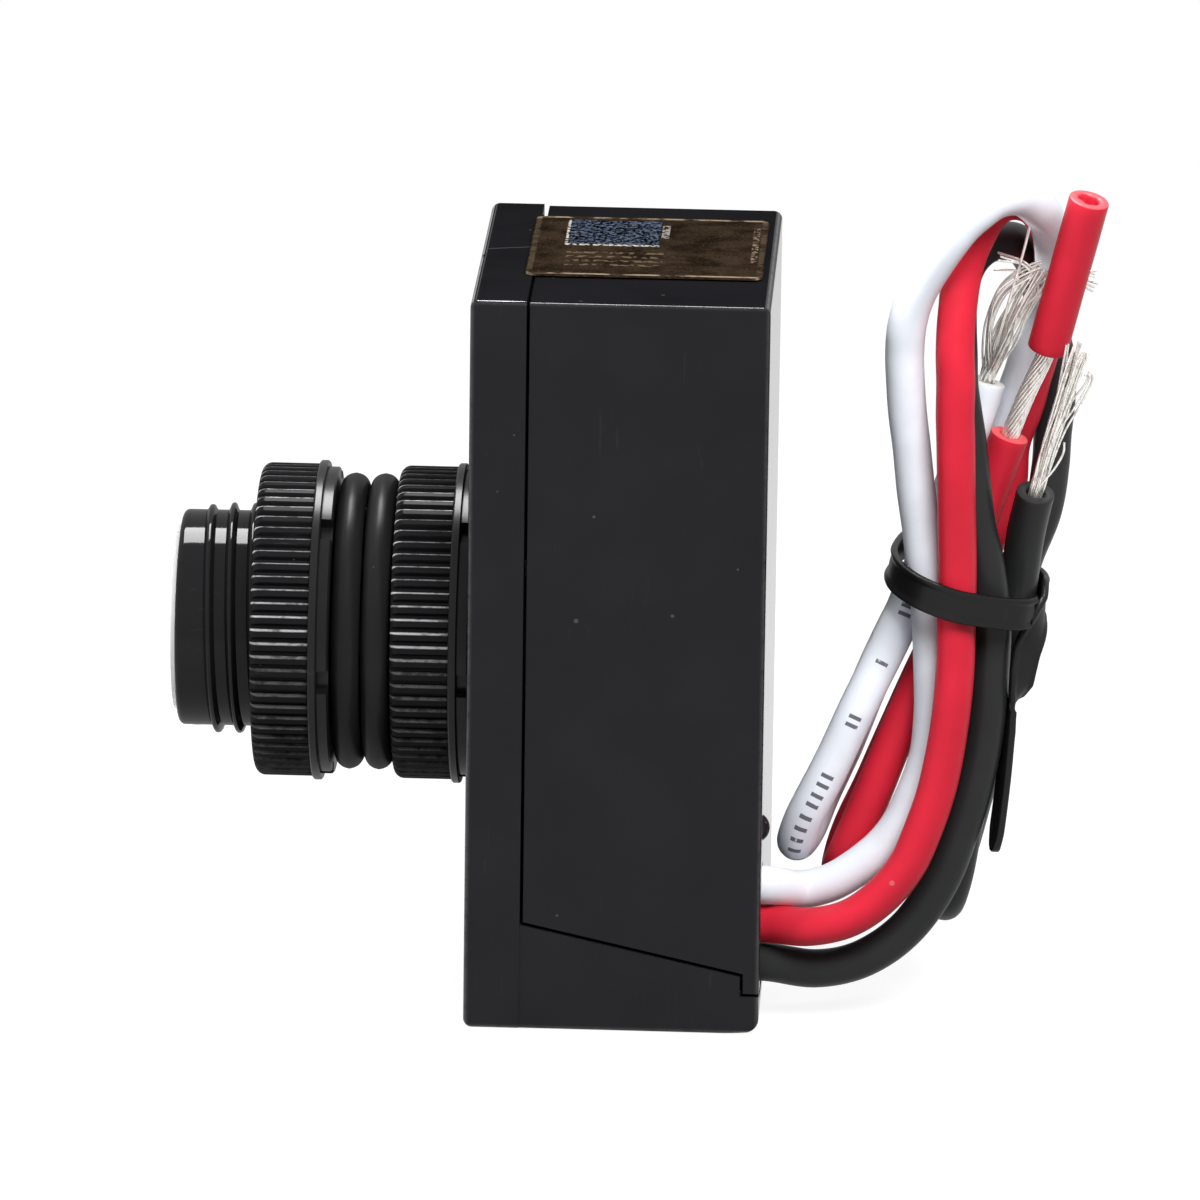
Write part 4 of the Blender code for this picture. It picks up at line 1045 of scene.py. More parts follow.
def tie_piece(material):
    """One strip: a flat section with two raised rims, carried round the
    legs of the leads, over itself, and down into its folded tail.

    Each point is middle + w across + t outward, where across is given at
    the knots and squared to the strip's way."""
    given = settings("leads")
    flat = [(4.75, -3.6), (4.0, -4.7), (2.4, -5.7), (-0.6, -6.7),
            (-3.0, -5.7), (-4.7, -3.4), (-5.35, -0.4), (-5.2, 2.6),
            (-4.3, 6.6), (-3.0, 8.4), (-0.9, 8.5), (1.0, 7.1), (3.0, 5.6),
            (4.9, 4.8), (5.45, 2.9)]
    normal = (math.sin(TIE_TILT), 0.0, math.cos(TIE_TILT))
    knots = [tie_point(*p) for p in flat]
    across = [normal] * len(knots)
    tail = [((40.05, -4.6, 29.65), (0.15, 0.0, 0.98)),
            ((40.10, -6.2, 29.15), (0.0, -0.45, 0.90)),
            ((39.75, -7.7, 28.3), (-0.45, -0.70, 0.55)),
            ((39.15, -8.8, 27.1), (-0.85, -0.50, 0.12)),
            ((38.85, -9.0, 25.6), (-0.85, -0.52, 0.0)),
            ((38.70, -8.9, 24.3), (-0.70, -0.70, 0.0)),
            ((38.45, -8.6, 23.4), (-0.30, -0.95, 0.0)),
            ((38.05, -8.4, 22.7), (0.20, -0.97, 0.0)),
            ((37.85, -8.3, 20.9), (0.30, -0.95, 0.0)),
            ((37.65, -8.3, 18.0), (0.30, -0.95, 0.0)),
            ((37.38, -8.2, 15.0), (0.30, -0.95, 0.0)),
            ((37.05, -8.1, 12.0), (0.30, -0.95, 0.0))]
    knots = np.array(knots + [p for p, _ in tail])
    across = np.array(across + [a for _, a in tail])
    line = smooth_line(knots * MM, 0.00025)
    run = arc(line)
    # the knots' own distances along the line carry the across directions
    nearest = ((line[None] - knots[:, None] * MM) ** 2).sum(-1).argmin(1)
    wide = at(across, run[nearest], run)
    way = unit(np.gradient(line, axis=0))
    wide = unit(wide - way * (wide * way).sum(1, keepdims=True))
    out = np.cross(wide, way)
    half, thick = given.tie_width / 2, given.tie_thickness / 2
    rim = 0.00009
    section = np.array([
        (-half, -thick * 0.55), (-half, thick * 0.5),
        (-half + 0.00010, thick + rim * 0.7), (-half + 0.00021, thick + rim),
        (-half + 0.00033, thick + rim * 0.5), (-half + 0.00046, thick * 0.75),
        (-half * 0.45, thick * 0.72), (0, thick * 0.80),
        (half * 0.45, thick * 0.72), (half - 0.00046, thick * 0.75),
        (half - 0.00033, thick + rim * 0.5), (half - 0.00021, thick + rim),
        (half - 0.00010, thick + rim * 0.7), (half, thick * 0.5),
        (half, -thick * 0.55), (half - 0.00012, -thick), (0, -thick),
        (-half + 0.00012, -thick)])
    end = np.clip((run[-1] - run) / 0.0016, 0, 1)
    taper = 0.28 + 0.72 * np.sqrt(end)
    # the tail is a little narrower from its third knot on
    start = run[nearest[len(flat) + 2]]
    narrow = 1 - 0.10 * np.clip((run - start) / 0.004, 0, 1)
    w = section[None, :, 0] * (taper * narrow)[:, None]
    grid = line[:, None] + w[..., None] * wide[:, None] + \
        section[None, :, 1, None] * out[:, None]
    return clad(skin("tie_strip", grid, sharp=50), material)


# ------------------------------------------------- snout, nuts and rings
THREAD_TOP = 0.01883      # first crest, straight above the axis
THREAD_START = -200.0     # where the ridge begins to rise, in degrees
THREAD_RISE = 285.0       # how far it takes to reach its height


def arc_points(middle, radius, first, last, steps):
    """Points of a circular arc, with angles in degrees."""
    turn = np.radians(np.linspace(first, last, steps))
    return np.stack([middle[0] + radius * np.cos(turn),
                     middle[1] + radius * np.sin(turn)], 1)


def snout_body(material, columns=160):
    """Snout: a section of outer wall, tip, lens seat and bore turned round
    the axis."""
    given = settings("snout")
    tip, root, bevel = given.length, given.root_radius, 0.00042
    seat, bore = given.seat_radius, given.bore_radius
    outside = np.linspace(-0.0012, tip - bevel, 40)
    section = np.vstack([
        np.stack([outside * 0 + root, outside], 1),
        arc_points((root - bevel, tip - bevel), bevel, 10, 80, 6),
        [(root - bevel, tip), (seat + 0.0001, tip),
         (seat, tip - 0.0001), (seat, tip - given.seat_depth),
         (bore, tip - given.seat_depth), (bore, 0.0),
         (bore, -0.0012)]])
    angle = np.linspace(0, TURN, columns, endpoint=False)
    grid = turned(section[:, :1], section[:, 1:], angle[None])
    return clad(skin("snout_body", grid, closed=True), material)


def snout_thread(material):
    """Thread: a rounded ridge section carried round the axis while it moves
    back by one pitch a turn; the ridge rises from the root at its start."""
    given = settings("snout")
    height = given.crest_radius - given.root_radius
    first = math.radians(THREAD_START)
    last = (THREAD_TOP + 0.0006) / given.pitch * TURN
    angle = np.arange(first, last, math.radians(4.0))[:, None]
    # axial place and height of the ridge's section, as shares
    axial = np.array([-0.42, -0.385, -0.31, -0.19, -0.125, -0.045, 0.045,
                      0.125, 0.19, 0.31, 0.385, 0.42])[None] * MM
    rise = np.array([-0.20, 0.0, 0.20, 0.78, 0.94, 1.0, 1.0, 0.94, 0.78,
                     0.20, 0.0, -0.20])[None]
    grow = np.clip((angle - first) / math.radians(THREAD_RISE), 0, 1)
    grow = grow ** 0.8
    radius = given.root_radius + height * np.where(
        rise > 0, rise * grow, rise)
    forward = THREAD_TOP - given.pitch * angle / TURN + axial
    return clad(skin("snout_thread", turned(radius, forward, angle),
                     sharp=50), material)


def nut_piece(name, forward, material):
    """Knurled nut: a closed section turned round the axis, its outside held
    in by the grooves: radius = least of section and rib height, where the
    rib height eases from crest to groove across each pitch."""
    given, snout = settings("nuts"), settings("snout")
    top, bore = given.radius, snout.crest_radius + 0.0003
    collar_top, ring_top = 0.0014, 0.0008
    length, nose = given.length, 0.0007
    section = [(bore, length - 0.0003, 0), (bore + 0.0003, length, 0),
               (bore + 0.0010, length, 0), (top - nose - 0.0004, length, 1)]
    section += [(r, f, 1) for r, f in arc_points(
        (top - nose, length - nose), nose, 90, 0, 10)]
    section += [(top, f, 1) for f in
                np.linspace(length - nose - 0.0004, collar_top + 0.00006, 5)]
    section += [(top - 0.00006, collar_top, 1),
                (given.collar_radius - 0.0001, collar_top, 0),
                (given.collar_radius, collar_top - 0.00010, 0),
                (given.collar_radius, ring_top + 0.00009, 0),
                (given.collar_radius - 0.00009, ring_top, 0),
                (given.foot_radius, ring_top, 2),
                (given.foot_radius, 0.00012, 2),
                (given.foot_radius - 0.00012, 0, 2),
                (bore + 0.0010, 0, 0), (bore + 0.0003, 0, 0),
                (bore, 0.0003, 0)]
    section = np.array(section)
    share_ = np.array([-0.44, -0.40, -0.37, -0.33, -0.29, -0.26, -0.22,
                       -0.12, 0.0, 0.12, 0.22, 0.26, 0.29, 0.33, 0.37, 0.40,
                       0.44, 0.5])
    angle = ((np.arange(given.ribs)[:, None] + share_[None]) *
             TURN / given.ribs).ravel()
    groove = np.clip((np.abs(np.tile(share_, given.ribs)) - 0.22) / 0.18,
                     0, 1)
    groove = groove ** 2 * (3 - 2 * groove)
    ribs = top - given.rib_depth * groove
    notch = np.abs((np.degrees(angle) - 98.5 + 30) % 60 - 30) < 4.5
    foot = given.foot_radius - 0.0008 * notch
    radius = np.broadcast_to(section[:, :1], (len(section), len(angle)))
    kind = section[:, 2:]
    radius = np.where(kind == 1, np.minimum(radius, ribs[None]), radius)
    radius = np.where(kind == 2, np.minimum(radius, foot[None]), radius)
    grid = turned(radius, forward + section[:, 1:2], angle[None])
    return clad(skin(name, grid, closed=True, sharp=42), material)


def ring_piece(name, forward, material, columns=224, around=40):
    """Sealing ring: a circle turned round the axis, with the faint flash
    line of its mould standing along its outside."""
    given, snout = settings("nuts"), settings("snout")
    section = given.ring_section
    middle = snout.crest_radius + 0.0003 + section
    psi = np.linspace(-math.pi, math.pi, around, endpoint=False)[:, None]
    flash = 0.000022 * np.exp(-(psi / 0.10) ** 2)
    angle = np.linspace(0, TURN, columns, endpoint=False)[None]
    uneven = 0.000010 * np.sin(7 * angle + 3 * psi) + \
        0.000006 * np.sin(23 * angle)
    grow = section + flash + uneven
    grid = turned(middle + grow * np.cos(psi),
                  forward + grow * np.sin(psi), angle)
    return clad(skin(name, grid, closed=True, sharp=60), material)


def lens_piece(material, columns=96):
    """Lens: a shallow spherical dome over a short plug, turned round the
    axis."""
    given = settings("snout")
    tip, radius = given.length, LENS_HIGH.z - AXIS_Z
    edge = tip + 0.00035
    rise = SNOUT_X - LENS_LOW.x - edge
    ball = (radius ** 2 + rise ** 2) / (2 * rise)
    r = radius * np.sin(np.linspace(0.01, math.pi / 2, 22)) * 0.992
    dome = np.stack([r, edge + np.sqrt(ball ** 2 - r ** 2)
                     - (ball - rise)], 1)
    back = SNOUT_X - LENS_HIGH.x
    section = np.vstack([dome, [
        (radius, edge - 0.00006), (radius, back + 0.0001),
        (radius - 0.0001, back), (radius * 0.5, back), (0.0001, back)]])
    angle = np.linspace(0, TURN, columns, endpoint=False)
    return clad(skin("lens_plug", turned(section[:, :1], section[:, 1:],
                                         angle[None]), sharp=40), material)


# -------------------------------------------------------------- housing
def prism(name, outline, reach, weights, to_space):
    """A flat outline carried straight from -reach to +reach.

    weights, one to a side of the outline, are how much of the bevel its
    edges take; to_space places (u, v, w) in x, y and z."""
    count = len(outline)
    u = np.tile(outline[:, 0], 2)
    v = np.tile(outline[:, 1], 2)
    w = np.repeat([-reach, reach], count)
    points = np.stack(to_space(u, v, w), 1)
    k = np.arange(count)
    sides = np.stack([k, (k + 1) % count, (k + 1) % count + count,
                      k + count], 1)
    area = (outline[:, 0] * np.roll(outline[:, 1], -1)
            - outline[:, 1] * np.roll(outline[:, 0], -1)).sum()
    spin = np.linalg.det(np.stack(to_space(*np.eye(3)), 1))
    faces = sides.tolist() + [k[::-1].tolist(), (k + count).tolist()]
    if area * spin < 0:
        faces = [f[::-1] for f in faces]
    mesh = bpy.data.meshes.new(name)
    mesh.from_pydata(points.tolist(), [], faces)
    edge = np.zeros(len(mesh.edges) * 2, np.int32)
    mesh.edges.foreach_get("vertices", edge)
    low, high = np.sort(edge.reshape(-1, 2), 1).T
    upright = high - low == count
    wrap = (high - low == count - 1) & ~upright
    side_of = np.where(wrap, high % count, low % count)
    corner = np.minimum(weights, np.roll(weights, 1))
    value = np.where(upright, corner[low % count] * sharp_corner(
        outline)[low % count], weights[side_of])
    mesh.attributes.new("bevel_weight_edge", "FLOAT", "EDGE")
    mesh.attributes["bevel_weight_edge"].data.foreach_set(
        "value", value.astype(np.float32))
    piece = bpy.data.objects.new(name, mesh)
    bpy.context.scene.collection.objects.link(piece)
    return piece


def sharp_corner(outline):
    """1 where the outline turns by more than 40 degrees, otherwise 0."""
    ahead = unit(np.roll(outline, -1, 0) - outline)
    behind = unit(outline - np.roll(outline, 1, 0))
    return ((ahead * behind).sum(1) < math.cos(math.radians(40))) * 1.0


def housing_prism(name, corners, reach, bevel):
    """A moulding drawn as (depth, height, corner radius, edge weight)."""
    outline, owner = rounded([c[:3] for c in corners])
    weight = np.array([c[3] for c in corners])
    # a side takes the weight of the corner that it starts from
    last = owner != np.roll(owner, -1)
    weights = np.where(last, weight[owner], np.maximum(
        weight[owner], np.roll(weight, 1)[owner]))
    piece = prism(name, outline, reach, weights,
                  lambda u, v, w: (SNOUT_X + u, w, v))
    if bevel:
        mod = piece.modifiers.new("edges", "BEVEL")
        mod.limit_method = "WEIGHT"
        mod.width = bevel
        mod.segments = 4
        settle(piece)
    return piece


def carve(piece, *tools):
    """Cut the tools out of a piece and take them away."""
    for tool in tools:
        mod = piece.modifiers.new("cut", "BOOLEAN")
        mod.operation, mod.solver, mod.object = "DIFFERENCE", "EXACT", tool
        settle(piece)
        bpy.data.objects.remove(tool, do_unlink=True)
    return piece


def block(low, high):
    """A plain block for cutting with."""
    low, high = np.array(low), np.array(high)
    outline = np.array([(low[0], low[2]), (high[0], low[2]),
                        (high[0], high[2]), (low[0], high[2])])
    middle = (low[1] + high[1]) / 2
    return prism("cutter", outline, (high[1] - low[1]) / 2, np.zeros(4),
                 lambda u, v, w: (u, w + middle, v))


def even_shading(piece, sharp=50.0):
    """Smooth edges, with flat faces kept flat by their size."""
    piece.data.shade_smooth()
    piece.data.set_sharp_from_angle(angle=math.radians(sharp))
    mod = piece.modifiers.new("even_normals", "WEIGHTED_NORMAL")
    mod.keep_sharp = True
    mod.weight = 60
    return piece


# heights and depths of the side view, measured off the photograph
LIP_H, LIP_DEPTH = 0.00275, 0.00135
CHEEK_REAR, CHEEK_FRONT = 0.0042, 0.0076
FLOOR, FRONT_WALL = 0.0020, 0.0020
STEP = 0.00006            # how far the cheeks lie inside the cap


def shell_pieces(material):
    """Cap with its rim, and the lower wall with its cheeks."""
    given = settings("housing")
    depth, cap, bevel = given.depth, given.cap_depth, given.edge_radius
    inner_y = BOX_W / 2 - given.wall
    front = housing_prism("front_cap", [
        (0, 0, 0.0006, 1), (cap, 0, 0, 0.15), (cap, BOX_H, 0, 1),
        (0, BOX_H, 0.0006, 1)], BOX_W / 2, bevel)
    hollow = block((SNOUT_X + FRONT_WALL, -inner_y, FLOOR),
                   (SNOUT_X + cap + 0.001, inner_y, BOX_H - given.wall))
    # the seam gapes at the far top corner, and the rim has a small chip
    gape = block((SNOUT_X + cap - 0.00016, BOX_W / 2 - 0.0036,
                  BOX_H - 0.0010), (SNOUT_X + cap + 0.001, 0.02, 0.06))
    chip = block((SNOUT_X - 0.001, -0.00150, BOX_H - 0.00024),
                 (SNOUT_X + 0.00034, -0.00060, 0.06))
    carve(front, hollow, gape, chip)
    lower = housing_prism("lower_wall", [
        (cap - 0.0007, STEP, 0, 0.15), (depth, STEP, 0.0010, 1),
        (depth, LIP_H, 0, 0.15), (depth - LIP_DEPTH, LIP_H, 0, 0.15),
        (depth - LIP_DEPTH, CHEEK_REAR, 0, 0.15),
        (cap, CHEEK_FRONT, 0, 0.15), (cap - 0.0007, CHEEK_FRONT, 0, 0.15)],
        BOX_W / 2 - STEP, bevel)
    hollow = block((SNOUT_X, -inner_y, FLOOR),
                   (REAR_X + 0.002, inner_y, BOX_H))
    carve(lower, hollow)
    return even_shading(join("front_moulding", [
        clad(piece, material) for piece in (front, lower)]))


def cover_piece(material):
    """Cover, with the slot for the leads and a small moulded pip."""
    given, leads = settings("housing"), settings("leads")
    depth, cap, seam = given.depth, given.cap_depth, given.seam
    rear = depth - LIP_DEPTH + seam
    top, inner_y = COVER_HIGH.z, BOX_W / 2 - given.wall
    cover = housing_prism("rear_moulding", [
        (cap + seam, CHEEK_FRONT + seam, 0, 0.15),
        (rear, CHEEK_REAR + seam, 0, 0.15), (rear, LIP_H + seam, 0, 0.15),
        (depth, LIP_H + seam, 0, 1), (depth, top, 0.0006, 1),
        (cap + seam, top, 0, 0.15)], COVER_HIGH.y, given.edge_radius)
    hollow = block((SNOUT_X, -inner_y, -0.002),
                   (REAR_X - given.wall, inner_y, BOX_H - given.wall))
    half = leads.radius + 0.0003
    high = EXIT_LOW_Z + 2 * EXIT_PITCH + half
    outline, _ = rounded([
        (EXIT_Y - half, -0.001, 0), (EXIT_Y + half, -0.001, 0),
        (EXIT_Y + half, high, half * 0.98),
        (EXIT_Y - half, high, half * 0.98)])
    slot = prism("cutter", outline, 0.003, np.zeros(len(outline)),
                 lambda u, v, w: (REAR_X + w, u, v))
    carve(cover, hollow, slot)
    # pip: the outer part of a ball, its rim sunk in the rear wall
    angle = np.linspace(0, TURN, 40, endpoint=False)[None]
    polar = np.radians(np.linspace(4, 75, 12))[:, None]
    ball = 0.0011
    x = REAR_X + 0.0005 - ball + ball * np.cos(polar) + 0 * angle
    pip = skin("pip", np.stack([
        x, -0.0122 + ball * np.sin(polar) * np.cos(angle),
        0.0145 + ball * np.sin(polar) * np.sin(angle)], -1))
    return even_shading(join("rear_moulding", [
        clad(piece, material) for piece in (cover, pip)]))


# ------------------------------------------------------ label and inside
def line_mask(tree, value, place, width):
    """1 on a line at the given place, with soft sides."""
    return fade(tree, apart(tree, value, place), width, width * 0.4)


def span_mask(tree, value, low, high):
    """1 between two values."""
    return times(tree, maths(tree, "GREATER_THAN", value, low),
                 maths(tree, "LESS_THAN", value, high))


LABEL_TAN = (0.33, 0.25, 0.17)
LABEL_DASH = (0.16, 0.115, 0.075)
LABEL_OUTLINE = (0.62, 0.58, 0.52)


def label_film(name, ground, block):
    """Printed film: brown ground, tan border lines, a dark block with a
    pale dotted outline, and rows of short dashes in place of lettering.

    across and up are millimetres from the film's corner."""
    material, tree, shader, coords = start_material(name)
    place = coords["Object"]
    across = maths(tree, "DIVIDE", minus(
        tree, axis(tree, place, 0), LABEL_LOW.x), MM)
    up = maths(tree, "DIVIDE", minus(
        tree, axis(tree, place, 1), LABEL_LOW.y), MM)
    long_ = (LABEL_HIGH.x - LABEL_LOW.x) / MM
    wide = (LABEL_HIGH.y - LABEL_LOW.y) / MM

    def area(first, last, low, high):
        return times(tree, span_mask(tree, across, first, last),
                     span_mask(tree, up, low, high))

    def broken(scale, start, end):
        return fade(tree, noise(tree, place, scale, 1.0), start, end)

    def lines(pitch, width):
        return line_mask(tree, maths(tree, "FRACT", times(
            tree, up, pitch)), 0.5, width)

    patch = noise(tree, place, 420.0, 4.0, 0.6)
    speck = noise(tree, place, 5200.0, 2.0, 0.7)
    tone = blend(tree, fade(tree, patch, 0.32, 0.68), shade(ground, 0.42),
                 shade(ground, 1.45))
    tone = blend(tree, fade(tree, speck, 0.56, 0.70), tone,
                 shade(ground, 2.4))
    tone = blend(tree, fade(tree, speck, 0.42, 0.34), tone,
                 shade(ground, 0.4))
    # rows of faint dashes on the rear half, and a column at its end
    tone = blend(tree, times(
        tree, lines(0.42, 0.24), span_mask(tree, across, 9.9, 13.4),
        broken(2600.0, 0.44, 0.54), 0.55), tone, shade(ground, 0.35))
    tone = blend(tree, times(
        tree, area(long_ - 1.0, long_ - 0.55, 4.2, 14.6),
        broken(3400.0, 0.52, 0.60), 0.6), tone, rgba(LABEL_TAN))
    # the block and its dotted outline
    fleck = fade(tree, noise(tree, place, 3600.0, 2.0, 0.8), 0.46, 0.62)
    ink = blend(tree, fleck, shade(block, 0.12), shade(block, 6.5))
    tone = blend(tree, area(2.55, 8.95, 9.0, 16.0), tone, ink)
    left = times(tree, line_mask(tree, across, 2.45, 0.13),
                 span_mask(tree, up, 8.8, 15.9))
    low = times(tree, line_mask(tree, up, 8.75, 0.30),
                span_mask(tree, across, 2.4, 9.0))
    stub = times(tree, area(9.05, 9.6, 11.0, 14.8), 0.5)
    outline = maths(tree, "MAXIMUM", maths(tree, "MAXIMUM", left, low),
                    stub)
    tone = blend(tree, times(tree, outline, broken(3000.0, 0.44, 0.52),
                             0.85), tone, rgba(LABEL_OUTLINE))
    # a patch of short tan dashes below the block
    tone = blend(tree, times(
        tree, lines(0.85, 0.30), area(2.6, 9.4, 2.4, 7.4),
        broken(1900.0, 0.46, 0.54), 0.75), tone, rgba(LABEL_DASH))
    # tan border lines, rubbed away in places
    edge_u = maths(tree, "MINIMUM", across, minus(tree, long_, across))
    edge_v = maths(tree, "MINIMUM", up, minus(tree, wide, up))
    rubbed = fade(tree, noise(tree, place, 900.0, 3.0), 0.36, 0.56)
    tone = blend(tree, times(
        tree, line_mask(tree, maths(tree, "MINIMUM", edge_u, edge_v), 0.26,
                        0.26),
        fade(tree, edge_v, 0.9, 0.5, 0.14, 1.0), rubbed, 0.9), tone,
        rgba(LABEL_TAN))
    finish(tree, shader, tone, fade(tree, patch, 0.3, 0.7, 0.34, 0.52),
           speck, 0.000006)
    set_plain(shader, specular=0.0)
    return material


def cell_face(name):
    """Light-sensing cell: pale ceramic with a dark track that runs to and
    fro across its face."""
    material, tree, shader, coords = start_material(name)
    high = maths(tree, "DIVIDE", minus(
        tree, axis(tree, coords["Object"], 2), AXIS_Z), MM)
    wide = maths(tree, "DIVIDE", axis(tree, coords["Object"], 1), MM)
    wave = times(tree, maths(
        tree, "PINGPONG", maths(tree, "ADD", wide, 20.0), 0.55), 5.5)
    track = line_mask(tree, high, minus(tree, wave, 1.6), 0.45)
    stain = noise(tree, coords["Object"], 900.0, 3.0)
    tone = blend(tree, fade(tree, stain, 0.3, 0.7),
                 rgba((0.66, 0.62, 0.52)), rgba((0.78, 0.74, 0.65)))
    tone = blend(tree, track, tone, rgba((0.24, 0.05, 0.02)))
    finish(tree, shader, tone, fade(tree, stain, 0.3, 0.7, 0.35, 0.55))
    return material


def dress(node, material):
    """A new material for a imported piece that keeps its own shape."""
    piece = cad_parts[node]
    if not piece.material_slots:
        piece.data.materials.append(material)
    for slot in piece.material_slots:
        slot.material = material


# ------------------------------------------------------------ operators
SCENE = {}
WIRE_SEED = 41
# printed bars on the white lead, in millimetres along it: two pairs, a
# single one between them, and a close row near the fold
MARKS = tuple((place, place + 0.28) for place in (
    142.2, 141.6, 137.9, 133.7, 133.1, 129.3, 128.6, 127.8, 127.1, 126.2,
    125.4, 124.6, 123.8, 122.6, 122.0))


class PHOTOCELL_OT_wires(bpy.types.Operator):
    """Stripped ends of the three leads, and the pushed-up sleeve"""
    bl_idname = "photocell.wires"
    bl_label = "Wires and sleeve"

    def execute(self, context):
        given = settings("leads")
        metal = tinned("tinned_copper", given.tinned)
        rng = np.random.default_rng(WIRE_SEED)
        side = (0.0, 1.0, 0.0)
        white, black = (
            wires_piece("conductor_" + name, [(w, side) for w in wires(rng)],
                        given.strand_radius, metal)
            for name, wires in (("white", white_wires),
                                ("black", black_wires)))
        helix, middle = red_wires()
        heart = given.core_radius - 1.3 * LAID_STRAND
        core = skin("core", tube(middle, heart, 24), sharp=60)
        outer = skin("helices", tube(helix, LAID_STRAND, 10), sharp=60)
        red = join("conductor_red", [clad(piece, metal)
                                     for piece in (outer, core)])
        for piece, node in ((white, "white_strands"),
                            (black, "black_strands"), (red, "red_strands")):
            mounted(piece, "tinned_strand", node)
        sleeve = slug_piece(insulation(
            "red_sleeve", given.red, CUT_MARK - 1.0, (0.86, 0.10, 0.12)))
        mounted(sleeve, "red_pvc", "red_slug")
        SCENE.update(white=[white], red=[red, sleeve], black=[black])
        return {"FINISHED"}


class PHOTOCELL_OT_tie(bpy.types.Operator):
    """Strip that holds the folded leads together"""
    bl_idname = "photocell.tie"
    bl_label = "Tie"

    def execute(self, context):
        given = settings("leads")
        strip = tie_piece(moulded(
            "tie_vinyl", given.tie, rough=(0.42, 0.6), scale=4000.0,
            scratch=0.15, dust=0.3, coat=0.35, glaze=0.28))
        mounted(strip, "tie_black", "twist_tie", "tie_tail")
        SCENE["black"].append(strip)
        return {"FINISHED"}


class PHOTOCELL_OT_leads(bpy.types.Operator):
    """The three insulated leads on their folded routes"""
    bl_idname = "photocell.leads"
    bl_label = "Leads"

    def execute(self, context):
        given = settings("leads")
        rows = (
            ("white", WHITE_ROUTE, 2, given.white, (0.74, 0.73, 0.72),
             (MARKS, 0.75, (0.14, 0.14, 0.16)), 0.156),
            ("red", RED_ROUTE, 1, given.red, (0.80, 0.10, 0.11), None,
             0.153),
            ("black", BLACK_ROUTE, 0, given.black, (0.03, 0.03, 0.03), None,
             0.151))
        for name, route, place, colour, cut, marks, length in rows:
            exit_z = EXIT_LOW_Z + place * EXIT_PITCH
            line = lead_line(route, exit_z)
            total = arc(line)[-1] / MM
            piece = lead_piece("lead_" + name, line, insulation(
                name + "_insulation", colour, total, cut, marks))
            mounted(piece, name + "_pvc", name + "_lead")
        return {"FINISHED"}


class PHOTOCELL_OT_nuts(bpy.types.Operator):
    """The two knurled nuts"""
    bl_idname = "photocell.nuts"
    bl_label = "Nuts"

    def execute(self, context):
        given = settings("nuts")
        plastic = moulded(
            "nut_plastic", given.plastic, rough=(0.26, 0.38), scale=3000.0,
            depth=0.000004, scratch=0.25, dust=0.25,
            stretch=(0.1, 1.0, 1.0), coat=0.36,
            glaze=0.24, ribs=(float(given.ribs), 18.0))
        for node, name in (("inner_nut", "nut_inner"),
                           ("outer_nut", "nut_outer")):
            _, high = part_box(node)
            nut = nut_piece(name, SNOUT_X - high.x, plastic)
            mounted(nut, "nut_black", node)
        return {"FINISHED"}


class PHOTOCELL_OT_rings(bpy.types.Operator):
    """The two sealing rings"""
    bl_idname = "photocell.rings"
    bl_label = "Sealing rings"

    def execute(self, context):
        given = settings("nuts")
        rubber = moulded(
            "ring_rubber", given.rubber, rough=(0.55, 0.72), scale=5200.0,
            depth=0.000008, scratch=0.10, dust=0.5,
            light=(0.03, 0.03, 0.03), coat=0.20, glaze=0.36)
        for node, name in (("o_ring_inner", "ring_inner"),
                           ("o_ring_outer", "ring_outer")):
            low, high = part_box(node)
            ring = ring_piece(name, SNOUT_X - (low.x + high.x) / 2, rubber)
            mounted(ring, "ring_rubber", node)
        return {"FINISHED"}


class PHOTOCELL_OT_housing(bpy.types.Operator):
    """Cap, lower wall, snout and cover"""
    bl_idname = "photocell.housing"
    bl_label = "Housing and snout"

    def execute(self, context):
        given, snout = settings("housing"), settings("snout")
        block_ = ((SNOUT_X, -BOX_W / 2, 0.0), (REAR_X, BOX_W / 2, BOX_H))
        matte = moulded(
            "housing_plastic", given.plastic, rough=(0.50, 0.62),
            scale=6500.0, depth=0.000006, scratch=0.16, dust=0.15,
            block=block_, coat=0.24, glaze=0.16,
            line=(0.00037, 0.28, given.cap_depth))
        gloss = moulded(
            "snout_plastic", snout.plastic, rough=(0.12, 0.20),
            scale=1500.0, depth=0.0000015, scratch=0.25, dust=0.15,
            stretch=(0.1, 1.0, 1.0), coat=0.30, glaze=0.07)
        shell, cover = shell_pieces(matte), cover_piece(matte)
        body, thread = snout_body(gloss), snout_thread(gloss)
        for piece in (shell, body, thread):
            mounted(piece, "housing_black", "front_shell")
        mounted(cover, "housing_black", "rear_cover")
        return {"FINISHED"}


class PHOTOCELL_OT_lens(bpy.types.Operator):
    """Clear domed lens in the snout's tip"""
    bl_idname = "photocell.lens"
    bl_label = "Lens"

    def execute(self, context):
        lens = lens_piece(clear_lens("clear_plastic"))
        mounted(lens, "lens_clear", "lens")
        return {"FINISHED"}


class PHOTOCELL_OT_label(bpy.types.Operator):
    """Printed film on the upper end"""
    bl_idname = "photocell.label"
    bl_label = "Label"

    def execute(self, context):
        given = settings("housing")
        dress("rating_label", label_film("label_film", given.film,
                                         given.print_ink))
        return {"FINISHED"}


